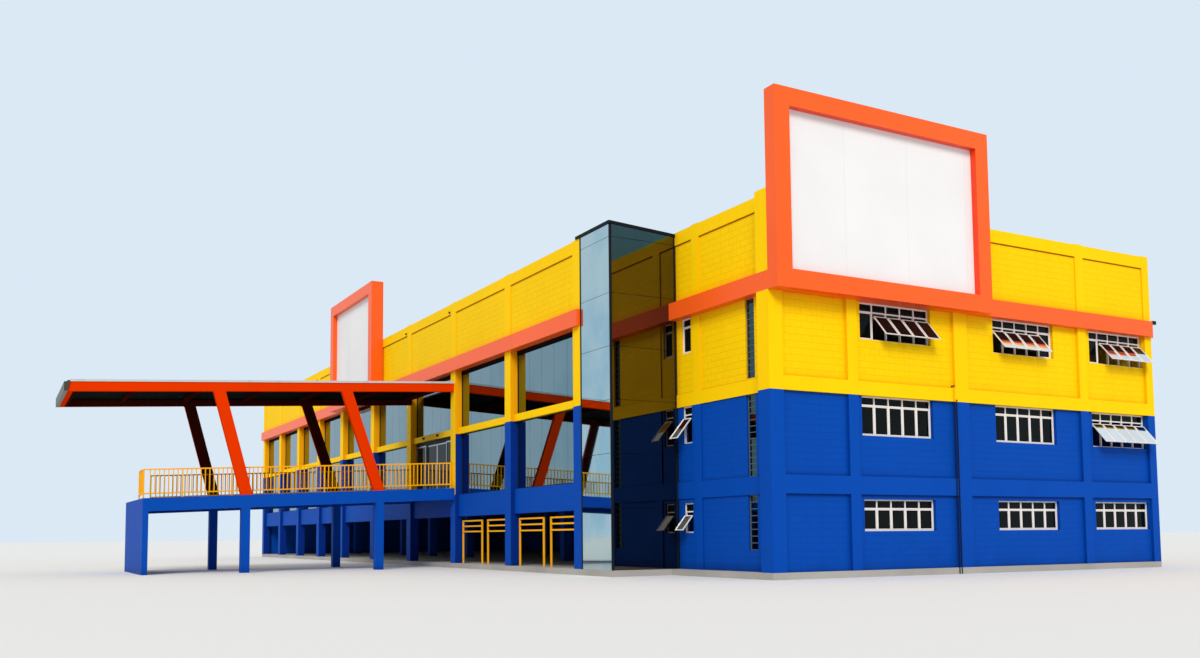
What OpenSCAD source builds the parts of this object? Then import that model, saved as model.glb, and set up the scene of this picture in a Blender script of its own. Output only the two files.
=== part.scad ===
// Corner supermarket building at half its real size, millimetres, +Z up.
// Plan sizes are measured from the near corner of the right wall and the entrance front:
// X runs along the front (negative to the left), Y runs into the building.

/* [Plan] */
// Depth of the building along its right wall
depth = 8605; // [8300:1:9500]
// Distance by which the left block stands in front of the right block
projection = 1095; // [700:1:1400]
// Width of the glass tower between the two blocks
tower_w = 995; // [700:1:1300]
// Distance from the near corner to the tower
tower_x = 2580; // [2500:1:3200]
// Pitch of the bays beside the tower
bay = 2765; // [2500:1:3000]
// Number of bays with the first pitch
bays = 5; // [5:1:6]
// Pitch of the bays at the far end
far_bay = 2435; // [2200:1:2700]
// Number of bays with the second pitch
far_bays = 4; // [2:1:5]

/* [Levels] */
// Thickness of the ground slab
ground_t = 100; // [60:1:160]
// Top of the blue beam under the main floor
main_beam_z = 1475; // [1350:1:1600]
// Height of the blue beam under the main floor
main_beam_h = 265; // [180:1:320]
// Top of the main floor
floor_z = 1650; // [1600:1:1750]
// Thickness of the upper floor and roof slabs
slab_t = 150; // [80:1:200]
// Underside of the yellow beam over the blue storey
paint_z = 2680; // [2550:1:2740]
// Height of the yellow beam over the blue storey
middle_beam_h = 210; // [120:1:280]
// Underside of the orange band
band_z = 4095; // [3900:1:4300]
// Height of the orange band
band_h = 275; // [200:1:350]
// Top of the parapet
parapet_z = 5550; // [5200:1:5900]
// Height of the coping beam on the parapet
coping_h = 210; // [120:1:280]
// Height by which a pilaster stands above the coping beam
cap_h = 12; // [5:1:60]

/* [Walls] */
// Depth of the concrete frame in the right, back and left walls
frame_d = 145; // [120:1:200]
// Thickness of the block walls
wall_t = 100; // [60:1:110]
// Width of a corner column
corner_w = 270; // [200:1:320]
// Depth of a back corner column
corner_d = 185; // [160:1:320]
// Width of a front column of the left block
column_w = 265; // [180:1:320]
// Depth of a front column of the left block
column_d = 200; // [160:1:260]
// Setback of the front wall behind the corner column
front_setback = 150; // [100:1:200]
// Distance by which the front pilaster stands out of its wall
pilaster_out = 18; // [10:1:40]
// Distance by which the band stands out of the columns
band_out = 65; // [30:1:120]
// Distance by which the band stops short of the tower
band_stop = 15; // [0:1:300]
// Distance by which the band stops short of the right wall's end
band_end = 35; // [0:1:200]
// Setback of the parapet's panels behind its columns
parapet_recess = 18; // [10:1:40]
// Height of the shadow gap under the coping beam
shadow_gap = 22; // [10:1:40]
// Depth of the shadow gap under the coping beam
shadow_d = 40; // [10:1:50]

/* [Shopfront] */
// Setback of the glass behind the column fronts
glass_setback = 155; // [100:1:180]
// Thickness of the glass
glass_t = 12; // [8:1:20]
// Setback of the beams behind the column fronts
beam_setback = 75; // [20:1:100]
// Top of the blue fascia under the glass
fascia_z = 1515; // [1480:1:1555]
// Height of the blue fascia
fascia_h = 455; // [300:1:600]
// Underside of the yellow beam between the glass rows
shop_beam_z = 2775; // [2700:1:2850]
// Height of the yellow beam between the glass rows
shop_beam_h = 130; // [90:1:200]

/* [Windows] */
// Width of a window in the right wall
window_w = 1450; // [1200:1:1480]
// Height of an upper window
upper_window_h = 565; // [400:1:700]
// Height of a middle window
middle_window_h = 595; // [400:1:700]
// Height of a lower window
lower_window_h = 470; // [350:1:600]
// Distances of the right wall's first two windows from the columns before them
window_gaps = [95, 640]; // [10:5:800]
// Distance from the right wall's last window to the corner column
window_end = 20; // [10:1:80]
// Height of the wall left under the upper slot window
slot_sill = 25; // [15:1:60]
// Depth of the lower windows' heads under the blue beam
lower_window_drop = 70; // [30:1:150]
// Number of lights across a window
lights = 5; // [3:1:6]
// Width of a window bar
bar_w = 22; // [14:1:34]
// Depth of a window frame
bar_d = 30; // [20:1:32]
// Height of the fixed row at the top of a window
fixed_row_h = 125; // [90:1:180]
// Setback of the window frame behind the wall face
window_setback = 55; // [30:1:56]
// Setback of the frames in the front wall
front_window_setback = 28; // [15:1:50]
// Width of a window in the left wall
left_window_w = 1300; // [1000:1:1350]
// Width of the tall slot window
slot_w = 216; // [150:1:240]
// Height of one pane of the slot window
slot_row_h = 95; // [80:1:140]
// Distance from the corner column to the slot window
slot_x = 257; // [240:1:340]
// Width of the narrow window
narrow_w = 265; // [200:1:300]
// Distance between the pilaster and the narrow window
narrow_gap = 66; // [30:1:90]

/* [Tower] */
// Width of a tower post
post_w = 60; // [40:1:90]
// Height of one row of tower panes
pane_h = 845; // [600:1:1000]
// Height of the lowest joint above the ground slab
first_joint = 130; // [80:1:300]
// Height of the top row of tower panes
top_pane_h = 210; // [150:1:400]
// Distance of the side mullion from the tower's front
mullion_y = 450; // [300:1:700]
// Top of the tower at its front edge
tower_z = 5560; // [5450:1:5600]
// Fall of the tower's roof per metre
tower_fall = 60; // [20:1:90]
// Thickness of the tower's cap
cap_t = 45; // [20:1:60]
// Overhang of the tower's cap
cap_out = 20; // [10:1:40]
// Overhang of the cap's front lip beside the tower
cap_side = 120; // [40:1:200]
// Gap between two panes of the tower
pane_gap = 6; // [4:1:12]

/* [Signs] */
// Length of the sign frame on the right wall
sign_l = 4290; // [4100:1:4400]
// Length of the sign frame on the front
front_sign_l = 3720; // [3500:1:4200]
// Distance from the near corner to the front sign
front_sign_x = 13950; // [13800:1:14300]
// Top of both sign frames
sign_z = 6995; // [6600:1:7400]
// Width of a sign frame's border
border = 270; // [180:1:340]
// Distance by which the right sign frame stands out of the columns
sign_out = 230; // [180:1:300]
// Distance by which the front sign frame stands out of the columns
front_sign_out = 300; // [200:1:340]
// Depth of the panel behind the frame's front face
panel_setback = 110; // [40:1:115]
// Thickness of a sign panel
panel_t = 55; // [30:1:60]

/* [Canopy] */
// Length of the canopy
canopy_l = 7330; // [6800:10:7900]
// Width of the canopy over its edge beams
canopy_w = 2715; // [2700:1:2800]
// Distance of the canopy's near edge from the column's edge
canopy_inset = 75; // [0:1:120]
// Top of the canopy at the wall
canopy_z = 3840; // [3700:1:3900]
// Fall of the canopy per metre
canopy_fall = 55; // [20:1:80]
// Depth of the gutter at the canopy's outer end
gutter_d = 100; // [80:10:140]
// Thickness of the gutter's sheet
gutter_t = 10; // [5:1:15]
// Slant of the gutter's back along the ends of the beams
gutter_slant = 40; // [0:10:60]
// Overhang of the roof sheet beyond the edge beams
sheet_out = 15; // [5:1:40]
// Depth of the canopy's edge beams
edge_h = 170; // [120:1:240]
// Width of the canopy's edge beams
edge_w = 100; // [70:1:140]
// Thickness of the canopy's roof sheet
sheet_t = 22; // [12:1:40]
// Distance of the first joist from the wall
joist_start = 160; // [60:10:400]
// Spacing of the joists
joist_pitch = 1190; // [900:10:1500]
// Width of a joist
joist_w = 60; // [40:1:90]
// Depth of a joist
joist_h = 110; // [60:1:150]
// Length of a raked column's section along the canopy
rake_l = 220; // [160:10:280]
// Width of a raked column across the canopy
rake_w = 100; // [70:1:140]
// Thickness of a raked column's foot and head plates
plate_t = 10; // [6:1:20]
// Overhang of a plate beyond its column
plate_out = 10; // [10:5:20]
// Distance of the inner raked columns' feet from the wall
inner_foot = 1510; // [1300:10:2000]
// Distance of the outer raked columns' feet from the wall
outer_foot = 4110; // [3900:10:4500]
// Distance by which the far columns' feet stand further out
far_shift = 130; // [0:10:200]
// Outward lean of the inner raked columns per metre
inner_lean = 338; // [200:1:380]
// Outward lean of the outer raked columns per metre
outer_lean = 268; // [200:1:340]

/* [Deck] */
// Length of the entrance deck
deck_l = 6000; // [5600:10:6400]
// Fall of the deck per metre
deck_fall = 44; // [20:2:60]
// Thickness of the deck
deck_t = 100; // [70:1:140]
// Overhang of the deck beyond the canopy's edge
deck_out = 40; // [20:1:80]
// Depth of the deck's edge beams
deck_beam_h = 240; // [180:1:320]
// Width of the deck's supports
pier_w = 160; // [100:1:220]
// Height of the railing above the deck
rail_h = 540; // [450:1:650]
// Height of the bottom rail above the deck
rail_gap = 75; // [50:1:160]
// Width of a rail
rail_w = 25; // [15:5:35]
// Spacing of the balusters
baluster_pitch = 80; // [60:5:120]
// Width of a baluster
baluster_w = 16; // [10:1:20]
// Balusters between two railing posts
balusters = 10; // [5:1:12]
// Distance of the first railing post from the wall
rail_start = 10; // [5:5:60]
// Distance of the corner post from the deck's end
rail_end = 15; // [10:5:120]
// Distance by which the far railing ends short of the near one
far_rail_end = 410; // [0:5:600]
// Gap between a railing and the raked columns
rail_side = 30; // [10:1:80]
// Length of the railing across the deck's end
end_rail_l = 650; // [400:1:900]
// Radius of the rounded rail end
rail_bend = 70; // [40:1:100]

/* [Entrance] */
// Width of one entrance panel
leaf_w = 625; // [560:1:625]
// Height of a sliding leaf
leaf_h = 1035; // [900:1:1080]
// Thickness of a sliding leaf
leaf_t = 25; // [18:1:30]
// Overlap of a leaf with the fixed light
leaf_lap = 20; // [12:1:40]
// Clearance round a sliding leaf
leaf_gap = 6; // [5:1:8]
// Width of a leaf's stile
stile_w = 34; // [24:1:50]
// Depth of the fixed lights' frame
fixed_t = 30; // [20:1:36]

/* [Undercroft] */
// Width of a column under the floor
inner_column_w = 200; // [140:1:260]
// Height of the top guard rail
guard_z = 975; // [850:1:1100]
// Spacing of the guard rails
guard_pitch = 108; // [80:1:140]
// Width of a guard rail
guard_w = 28; // [20:1:40]
// Setback of the guard rails behind the column fronts
guard_setback = 120; // [40:1:160]
// Distance of a guard rail from its column
guard_side = 100; // [40:1:200]
// Gap between the two guard rails of a bay
guard_gap = 260; // [150:1:400]

/* [Roof] */
// Rise of the metal roof per metre
roof_rise = 80; // [40:1:150]
// Thickness of the roof sheets
roof_t = 30; // [20:1:40]
// Width of the gutter along the parapet
gutter_w = 150; // [80:1:240]

/* [Hidden] */
yellow = "gold";
blue = "royalblue";
orange = "orangered";
pale = "whitesmoke";
metal = "silver";
dark_glass = "slategray";

// Plan lines, from the near corner
left_x = tower_x + tower_w;
all_bays = bays + far_bays;
function column_left(i) = -left_x - column_w - min(i, bays) * bay - max(i - bays, 0) * far_bay;
far_x = column_left(all_bays);
recess = frame_d - wall_t;
front_in = front_setback + wall_t;
inner_front = -projection + column_d;
inner_back = depth - frame_d;
inner_left = far_x + frame_d;
glass_y = -projection + glass_setback;
// Columns of each wall as spans along the wall
mid_columns = [[1450, 1645], [3650, 3940], [6615, 6820]];
back_corner = [depth - corner_d, depth];
side_columns = concat([[0, front_in]], mid_columns, [back_corner]);
left_columns = concat([[-projection, inner_front]], mid_columns, [back_corner]);
front_columns = [for (i = [all_bays:-1:0]) [column_left(i), column_left(i) + column_w]];
back_columns = concat(front_columns, [[-corner_w, 0]]);
pilaster = [-2110, -1900];
window_y = [mid_columns[0][1] + window_gaps[0], mid_columns[1][1] + window_gaps[1],
    back_corner[0] - window_end - window_w];
entrance_i = all_bays - 3;
// Window rows as sill and head
lower_row = [main_beam_z - main_beam_h - lower_window_drop - lower_window_h,
    main_beam_z - main_beam_h - lower_window_drop];
middle_row = [paint_z - middle_window_h, paint_z];
upper_row = [band_z - upper_window_h, band_z];
window_rows = [lower_row, middle_row, upper_row];
slots = [[410, main_beam_z - main_beam_h], [main_beam_z, paint_z],
    [paint_z + middle_beam_h + slot_sill, band_z]];
function gap(s, i) = [s[i][1], s[i + 1][0]];
function middle(s) = (s[0] + s[1]) / 2;
function span(s, w) = [middle(s) - w / 2, middle(s) + w / 2];
door = gap(front_columns, entrance_i);
front_sign = [-front_sign_x - front_sign_l, -front_sign_x];
// The model's origin is the middle of its footprint
mid_x = (far_x - band_out + sign_out) / 2;
mid_y = (-projection - canopy_l + depth + band_out) / 2;

module place() {
    translate([-mid_x, -mid_y, 0]) children();
}
module block(x, y, z) {
    translate([x[0], y[0], z[0]]) cube([x[1] - x[0], y[1] - y[0], z[1] - z[0]]);
}
// A profile of points (y, z), as thick as the span x
module slab(x, points) {
    translate([x[0], 0, 0]) rotate([90, 0, 90]) linear_extrude(x[1] - x[0]) polygon(points);
}

// Floors
module footprint() {
    polygon([[0, 0], [0, depth], [far_x, depth], [far_x, -projection],
        [-tower_x, -projection], [-tower_x, 0]]);
}
module inside(end_t) {
    polygon([[-frame_d, front_in], [-frame_d, inner_back], [inner_left, inner_back],
        [inner_left, inner_front], [-left_x - end_t, inner_front], [-left_x - end_t, front_in]]);
}
module back_corners(z) {
    for (x = [[-corner_w, 0], [far_x, far_x + column_w]]) block(x, back_corner, z);
}
module ground_slab() {
    color("darkgray") place() linear_extrude(ground_t) footprint();
}
module main_floor() {
    color("lightgray") place() {
        difference() {
            translate([0, 0, main_beam_z]) linear_extrude(floor_z - main_beam_z) inside(0);
            back_corners([main_beam_z - 1, floor_z + 1]);
        }
        block(door, [-projection, inner_front], [fascia_z, floor_z]);
    }
}
module upper_floor() {
    top = paint_z + middle_beam_h;
    color("lightgray") place() difference() {
        block([-left_x, -frame_d], [front_in, inner_back], [top - slab_t, top]);
        back_corners([top - slab_t - 1, top + 1]);
    }
}
module roof_slab() {
    color("darkgray") place()
        translate([0, 0, band_z]) linear_extrude(slab_t) inside(wall_t);
}
// Gable roof of metal sheets behind the parapet, open below
roof_base = band_z + slab_t;
ridge_y = (inner_front + inner_back) / 2;
eave_y = (inner_back - inner_front) / 2 - gutter_w;
module roof_run(x, y, inset) {
    function top(y) = roof_base + roof_t - inset + (eave_y - abs(y - ridge_y)) * roof_rise / 1000;
    base = roof_base - inset;
    slab([x[0] + inset, x[1] - inset], [[y[0] + inset, base], [y[1] - inset, base],
        [y[1] - inset, top(y[1])], [ridge_y, top(ridge_y)], [y[0] + inset, top(y[0])]]);
}
module roof_hood(inset) {
    back = inner_back - gutter_w;
    roof_run([inner_left + gutter_w, -left_x - gutter_w], [inner_front + gutter_w, back], inset);
    roof_run([-left_x - gutter_w - 3 * inset, -frame_d - gutter_w], [front_in + gutter_w, back],
        inset);
}
module roof_sheets() {
    color(metal) place() difference() {
        roof_hood(0);
        roof_hood(roof_t);
    }
}

// Columns
module right_column(i, z) {
    wide = i == 0 || i == len(side_columns) - 1;
    block([wide ? -corner_w : -frame_d, 0], side_columns[i], z);
}
module left_column(i, z) {
    wide = i == 0 || i == len(left_columns) - 1;
    block([far_x, wide ? far_x + column_w : inner_left], left_columns[i], z);
}
module wall_columns(z) {
    for (i = [0:len(side_columns) - 1]) right_column(i, z);
    for (i = [1:len(left_columns) - 1]) left_column(i, z);
    for (i = [1:len(back_columns) - 2]) block(back_columns[i], [inner_back, depth], z);
    block(pilaster, [front_setback - pilaster_out, front_in], z);
}
// The two columns beside the entrance are yellow down to the deck
function beside_entrance(i) = i == entrance_i || i == entrance_i + 1;
function paint_change(i) = beside_entrance(i) ? fascia_z : shop_beam_z;
module shop_column(i, z) {
    block(front_columns[i], [-projection, inner_front], z);
}
module blue_columns() {
    color(blue) place() {
        wall_columns([ground_t, paint_z]);
        for (i = [0:all_bays]) shop_column(i, [ground_t, paint_change(i)]);
    }
}
module yellow_columns() {
    parapet = [band_z + band_h, parapet_z + cap_h];
    color(yellow) place() {
        wall_columns([paint_z, band_z]);
        for (i = [0:all_bays]) shop_column(i, [paint_change(i), band_z]);
        wall_columns(parapet);
        for (i = [0:all_bays]) shop_column(i, parapet);
    }
}
// Two rows of columns stand inside, in line with the side columns
inner_rows = [middle(mid_columns[0]), (middle(mid_columns[1]) + middle(mid_columns[2])) / 2];
module inner_column(x, row, z) {
    block(x, [row - inner_column_w / 2, row + inner_column_w / 2], z);
}
module inner_columns() {
    color(blue) place() for (row = inner_rows) {
        for (i = [1:all_bays - 1])
            inner_column(span(front_columns[i], inner_column_w), row, [ground_t, main_beam_z]);
        inner_column([-left_x, -left_x + inner_column_w], row,
            [floor_z, paint_z + middle_beam_h - slab_t]);
    }
}

// Beams between the columns
module wall_beams(z) {
    for (i = [0:len(side_columns) - 2]) block([-frame_d, 0], gap(side_columns, i), z);
    for (i = [0:len(left_columns) - 2]) block([far_x, inner_left], gap(left_columns, i), z);
    for (i = [0:len(back_columns) - 2]) block(gap(back_columns, i), [inner_back, depth], z);
}
module front_beams(z) {
    block([pilaster[1], -corner_w], [front_setback - pilaster_out, front_in], z);
    block([-tower_x, pilaster[0]], [front_setback - pilaster_out, front_in], z);
}
module lower_beams() {
    z = [main_beam_z - main_beam_h, main_beam_z];
    color(blue) place() {
        wall_beams(z);
        front_beams(z);
    }
}
module middle_beams() {
    z = [paint_z, paint_z + middle_beam_h];
    color(yellow) place() {
        wall_beams(z);
        front_beams(z);
    }
}
module between_columns(z) {
    for (i = [0:len(front_columns) - 2])
        block(gap(front_columns, i), [-projection + beam_setback, inner_front], z);
}
module shop_fascia() {
    color(blue) place() between_columns([fascia_z - fascia_h, fascia_z]);
}
module shop_beams() {
    color(yellow) place() between_columns([shop_beam_z, shop_beam_z + shop_beam_h]);
}
module roof_band() {
    z = [band_z, band_z + band_h];
    color(orange) place() {
        block([-frame_d, 0], [0, depth], z);
        block([0, band_out], [sign_l, depth - band_end], z);
        block([far_x, 0], [inner_back, depth], z);
        block([far_x, 0], [depth, depth + band_out], z);
        block([far_x - band_out, inner_left], [-projection, depth], z);
        block([far_x, -left_x], [-projection, inner_front], z);
        block([far_x - band_out, front_sign[0]], [-projection - band_out, -projection], z);
        block([front_sign[1], -left_x - band_stop], [-projection - band_out, -projection], z);
        block([-left_x - wall_t, -left_x], [-projection, front_in], z);
        block([-left_x, -tower_x], [front_setback, front_in], z);
        block([-tower_x, 0], [0, front_in], z);
    }
}

// Parapet of block panels under a coping beam, with a shadow gap between them
module parapet_ring(z, inset) {
    face = parapet_recess + inset;
    for (i = [0:len(side_columns) - 2]) block([-frame_d, -face], gap(side_columns, i), z);
    for (i = [0:len(left_columns) - 2])
        block([far_x + face, inner_left], gap(left_columns, i), z);
    for (i = [0:len(back_columns) - 2])
        block(gap(back_columns, i), [inner_back, depth - face], z);
    for (i = [0:len(front_columns) - 2])
        block(gap(front_columns, i), [-projection + face, inner_front], z);
    block([pilaster[1], -corner_w], [front_setback + inset, front_in], z);
    block([-left_x, pilaster[0]], [front_setback + inset, front_in], z);
    block([-left_x - wall_t, -left_x], [inner_front, front_in], z);
}
strip_z = parapet_z - coping_h - shadow_gap;
module parapet_panels() {
    color(yellow) place() {
        parapet_ring([band_z + band_h, strip_z], 0);
        parapet_ring([strip_z, parapet_z - coping_h], shadow_d);
    }
}
module coping_beams() {
    z = [parapet_z - coping_h, parapet_z];
    color(yellow) place() {
        wall_beams(z);
        front_beams(z);
        for (i = [0:len(front_columns) - 2])
            block(gap(front_columns, i), [-projection, inner_front], z);
        block([-left_x - wall_t, -left_x], [inner_front, front_in], z);
        block([-left_x, -tower_x], [front_setback, front_in], z);
    }
}

// Walls with their window openings
blue_walls = [[ground_t, main_beam_z - main_beam_h], [main_beam_z, paint_z]];
yellow_walls = [[paint_z + middle_beam_h, band_z]];
module right_wall(walls, rows) {
    difference() {
        for (z = walls, i = [0:len(side_columns) - 2])
            block([-frame_d, -recess], gap(side_columns, i), z);
        for (row = rows, y = window_y) block([-frame_d - 1, 0], [y, y + window_w], row);
    }
}
module right_blue_wall() {
    color(blue) place() right_wall(blue_walls, [lower_row, middle_row]);
}
module right_yellow_wall() {
    color(yellow) place() right_wall(yellow_walls, [upper_row]);
}
slot_span = [-corner_w - slot_x - slot_w, -corner_w - slot_x];
narrow_span = [pilaster[0] - narrow_gap - narrow_w, pilaster[0] - narrow_gap];
module front_wall(walls, openings) {
    difference() {
        for (z = walls) {
            block([pilaster[1], -corner_w], [front_setback, front_in], z);
            block([-tower_x, pilaster[0]], [front_setback, front_in], z);
        }
        for (i = openings) {
            block(narrow_span, [front_setback - 1, front_in + 1], window_rows[i]);
            block(slot_span, [front_setback - 1, front_in + 1], slots[i]);
        }
    }
}
module front_blue_wall() { color(blue) place() front_wall(blue_walls, [0, 1]); }
module front_yellow_wall() { color(yellow) place() front_wall(yellow_walls, [2]); }
module back_wall(z) {
    for (i = [0:len(back_columns) - 2])
        block(gap(back_columns, i), [inner_back, depth - recess], z);
}
module back_openings(row) {
    for (i = [0:len(back_columns) - 2])
        block(span(gap(back_columns, i), window_w), [inner_back - 1, depth], row);
}
module back_blue_wall() {
    color(blue) place() difference() {
        union() {
            back_wall([ground_t, main_beam_z - main_beam_h]);
            back_wall([main_beam_z, paint_z]);
        }
        back_openings(middle_row);
    }
}
module back_yellow_wall() {
    color(yellow) place() difference() {
        back_wall([paint_z + middle_beam_h, band_z]);
        back_openings(upper_row);
    }
}
module left_wall(z) {
    for (i = [0:len(left_columns) - 2])
        block([far_x + recess, inner_left], gap(left_columns, i), z);
}
module left_openings(row) {
    for (i = [0:len(left_columns) - 2])
        block([far_x, inner_left + 1], span(gap(left_columns, i), left_window_w), row);
}
module left_blue_wall() {
    color(blue) place() difference() {
        union() {
            left_wall([ground_t, main_beam_z - main_beam_h]);
            left_wall([main_beam_z, paint_z]);
        }
        left_openings(middle_row);
    }
}
module left_yellow_wall() {
    color(yellow) place() difference() {
        left_wall([paint_z + middle_beam_h, band_z]);
        left_openings(upper_row);
    }
}

// A window frame seen from outside, as wide as w and as tall as h, facing -Y
module window(w, h, n) {
    light = (w - (n + 1) * bar_w) / n;
    difference() {
        cube([w, bar_d, h]);
        for (i = [0:n - 1]) translate([bar_w + i * (light + bar_w), -1, 0]) {
            translate([0, 0, h - fixed_row_h]) cube([light, bar_d + 2, fixed_row_h - bar_w]);
            translate([0, 0, bar_w]) cube([light, bar_d + 2, h - 2 * bar_w - fixed_row_h]);
        }
    }
}
module slot_window(h) {
    rows = round(h / slot_row_h);
    step = (h - bar_w) / rows;
    difference() {
        cube([slot_w, bar_d, h]);
        for (i = [0:rows - 1]) translate([bar_w, -1, bar_w + i * step])
            cube([slot_w - 2 * bar_w, bar_d + 2, step - bar_w]);
    }
}
module pane(w, h) { translate([0, bar_d, 0]) cube([w, glass_t, h]); }
module on_right(y, z) { translate([-recess - window_setback, y, z]) rotate([0, 0, 90]) children(); }
module on_front(x, z) { translate([x, front_setback + front_window_setback, z]) children(); }
module on_back(x, z) {
    translate([x, depth - recess - window_setback, z]) rotate([0, 0, 180]) children();
}
module on_left(y, z) {
    translate([far_x + recess + window_setback, y, z]) rotate([0, 0, -90]) children();
}
module window_frames() {
    color(pale) place() {
        for (r = window_rows, y = window_y) on_right(y, r[0]) window(window_w, r[1] - r[0], lights);
        for (r = window_rows) on_front(narrow_span[0], r[0]) window(narrow_w, r[1] - r[0], 1);
        for (r = slots) on_front(slot_span[0], r[0]) slot_window(r[1] - r[0]);
        for (r = [middle_row, upper_row]) {
            for (i = [0:len(back_columns) - 2])
                on_back(middle(gap(back_columns, i)) + window_w / 2, r[0])
                    window(window_w, r[1] - r[0], lights);
            for (i = [0:len(left_columns) - 2])
                on_left(middle(gap(left_columns, i)) + left_window_w / 2, r[0])
                    window(left_window_w, r[1] - r[0], lights);
        }
    }
}
module window_glass() {
    color(dark_glass) place() {
        for (r = window_rows, y = window_y) on_right(y, r[0]) pane(window_w, r[1] - r[0]);
        for (r = window_rows) on_front(narrow_span[0], r[0]) pane(narrow_w, r[1] - r[0]);
        for (r = slots) on_front(slot_span[0], r[0]) pane(slot_w, r[1] - r[0]);
        for (r = [middle_row, upper_row]) {
            for (i = [0:len(back_columns) - 2])
                on_back(middle(gap(back_columns, i)) + window_w / 2, r[0])
                    pane(window_w, r[1] - r[0]);
            for (i = [0:len(left_columns) - 2])
                on_left(middle(gap(left_columns, i)) + left_window_w / 2, r[0])
                    pane(left_window_w, r[1] - r[0]);
        }
    }
}

// Glass tower in the corner between the blocks
tower_front = -projection + glass_t;
tower_side = -tower_x - glass_t;
function tower_top(y) = tower_z - (y + projection) * tower_fall / 1000;
module upright(x, y) {
    slab(x, [[y[0], ground_t], [y[1], ground_t], [y[1], tower_top(y[1])], [y[0], tower_top(y[0])]]);
}
mullion = [-projection + mullion_y, -projection + mullion_y + post_w];
pane_rows = floor((tower_z - top_pane_h - ground_t - first_joint) / pane_h);
function joint_z(i) = i < pane_rows ? ground_t + first_joint + i * pane_h : tower_z - top_pane_h;
module tower_frame() {
    front_post = [tower_front, tower_front + post_w];
    back_post = [front_setback - post_w, front_setback];
    side = [tower_side - post_w, tower_side];
    color("dimgray") place() {
        upright([-left_x, -left_x + post_w], front_post);
        for (y = [front_post, mullion, back_post]) upright(side, y);
        for (i = [0:pane_rows]) {
            z = [joint_z(i) - post_w / 2, joint_z(i) + post_w / 2];
            block([-left_x + post_w, side[0]], front_post, z);
            block(side, [front_post[1], mullion[0]], z);
            block(side, [mullion[1], back_post[0]], z);
        }
    }
}
// One sheet of panes between two joints
module pane_slice(i) {
    z0 = i < 0 ? ground_t : joint_z(i) + pane_gap / 2;
    z1 = i == pane_rows ? tower_z + 1 : joint_z(i + 1) - pane_gap / 2;
    block([-left_x - 1, -tower_x + 1], [-projection - 1, front_setback + 1], [z0, z1]);
}
module tower_glass() {
    color(dark_glass) place() for (i = [-1:pane_rows]) intersection() {
        pane_slice(i);
        union() {
            upright([-left_x, -tower_x], [-projection, tower_front]);
            upright([tower_side, -tower_x], [tower_front + pane_gap, front_setback]);
        }
    }
}
module cap_piece(x, y) {
    slab(x, [[y[0], tower_top(y[0])], [y[1], tower_top(y[1])],
        [y[1], tower_top(y[1]) + cap_t], [y[0], tower_top(y[0]) + cap_t]]);
}
module tower_cap() {
    lip = -projection - cap_out;
    color("dimgray") place() {
        cap_piece([-left_x, -tower_x], [lip, front_setback]);
        cap_piece([-tower_x, -tower_x + cap_out], [lip, front_setback - pilaster_out]);
        cap_piece([-left_x - cap_side, -left_x], [lip, -projection]);
    }
}

// Shopfront and entrance
module glass_row(z, bays_in) {
    for (i = bays_in)
        block(gap(front_columns, i), [glass_y, glass_y + glass_t], z);
}
module shop_glass() {
    color(dark_glass) place() {
        glass_row([shop_beam_z + shop_beam_h, band_z], [0:all_bays - 1]);
        glass_row([fascia_z, shop_beam_z],
            [for (i = [0:all_bays - 1]) if (i != entrance_i) i]);
    }
}
door_mid = middle(door);
fixed_y = [glass_y - fixed_t / 2, glass_y + fixed_t / 2];
leaf_y = fixed_y[1] + leaf_gap;
head_z = floor_z + leaf_gap + leaf_h + leaf_gap;
module light_frame(x, y, z) {
    difference() {
        block(x, y, z);
        block([x[0] + stile_w, x[1] - stile_w], [y[0] - 1, y[1] + 1],
            [z[0] + stile_w, z[1] - stile_w]);
    }
}
module light_pane(x, y, z) {
    block([x[0] + stile_w, x[1] - stile_w],
        [middle(y) - glass_t / 2, middle(y) + glass_t / 2],
        [z[0] + stile_w, z[1] - stile_w]);
}
fixed_lights = [[door[0], door_mid - leaf_w], [door_mid + leaf_w, door[1]]];
module entrance_frame() {
    color("silver") place()
        for (x = fixed_lights) light_frame(x, fixed_y, [floor_z, head_z]);
}
module entrance_header() {
    color("silver") place()
        block(door, [fixed_y[0], leaf_y + leaf_t], [head_z, shop_beam_z]);
}
module entrance_glass() {
    color(dark_glass) place() for (x = fixed_lights) light_pane(x, fixed_y, [floor_z, head_z]);
}
module leaf(x) {
    y = [leaf_y, leaf_y + leaf_t];
    z = [floor_z + leaf_gap, floor_z + leaf_gap + leaf_h];
    light_frame(x, y, z);
    light_pane(x, y, z);
}
module left_leaf() {
    color("silver") place()
        leaf([door_mid - leaf_w - leaf_lap, door_mid - leaf_gap / 2]);
}
module right_leaf() {
    color("silver") place()
        leaf([door_mid + leaf_gap / 2, door_mid + leaf_w + leaf_lap]);
}

// Sign frames with bare panels
panel_z = [band_z + border, sign_z - border];
module sign_frame(l, out) {
    difference() {
        block([0, l], [-out, 0], [band_z, sign_z]);
        block([border, l - border], [-out - 1, 1], panel_z);
    }
}
module sign_panel(l, out) {
    block([border, l - border], [-out + panel_setback, -out + panel_setback + panel_t], panel_z);
}
module on_corner() { rotate([0, 0, 90]) children(); }
module on_shopfront() { translate([front_sign[0], -projection, 0]) children(); }
module sign_frames() {
    color(orange) place() {
        on_corner() sign_frame(sign_l, sign_out);
        on_shopfront() sign_frame(front_sign_l, front_sign_out);
    }
}
module sign_panels() {
    color(pale) place() {
        on_corner() sign_panel(sign_l, sign_out);
        on_shopfront() sign_panel(front_sign_l, front_sign_out);
    }
}

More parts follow.
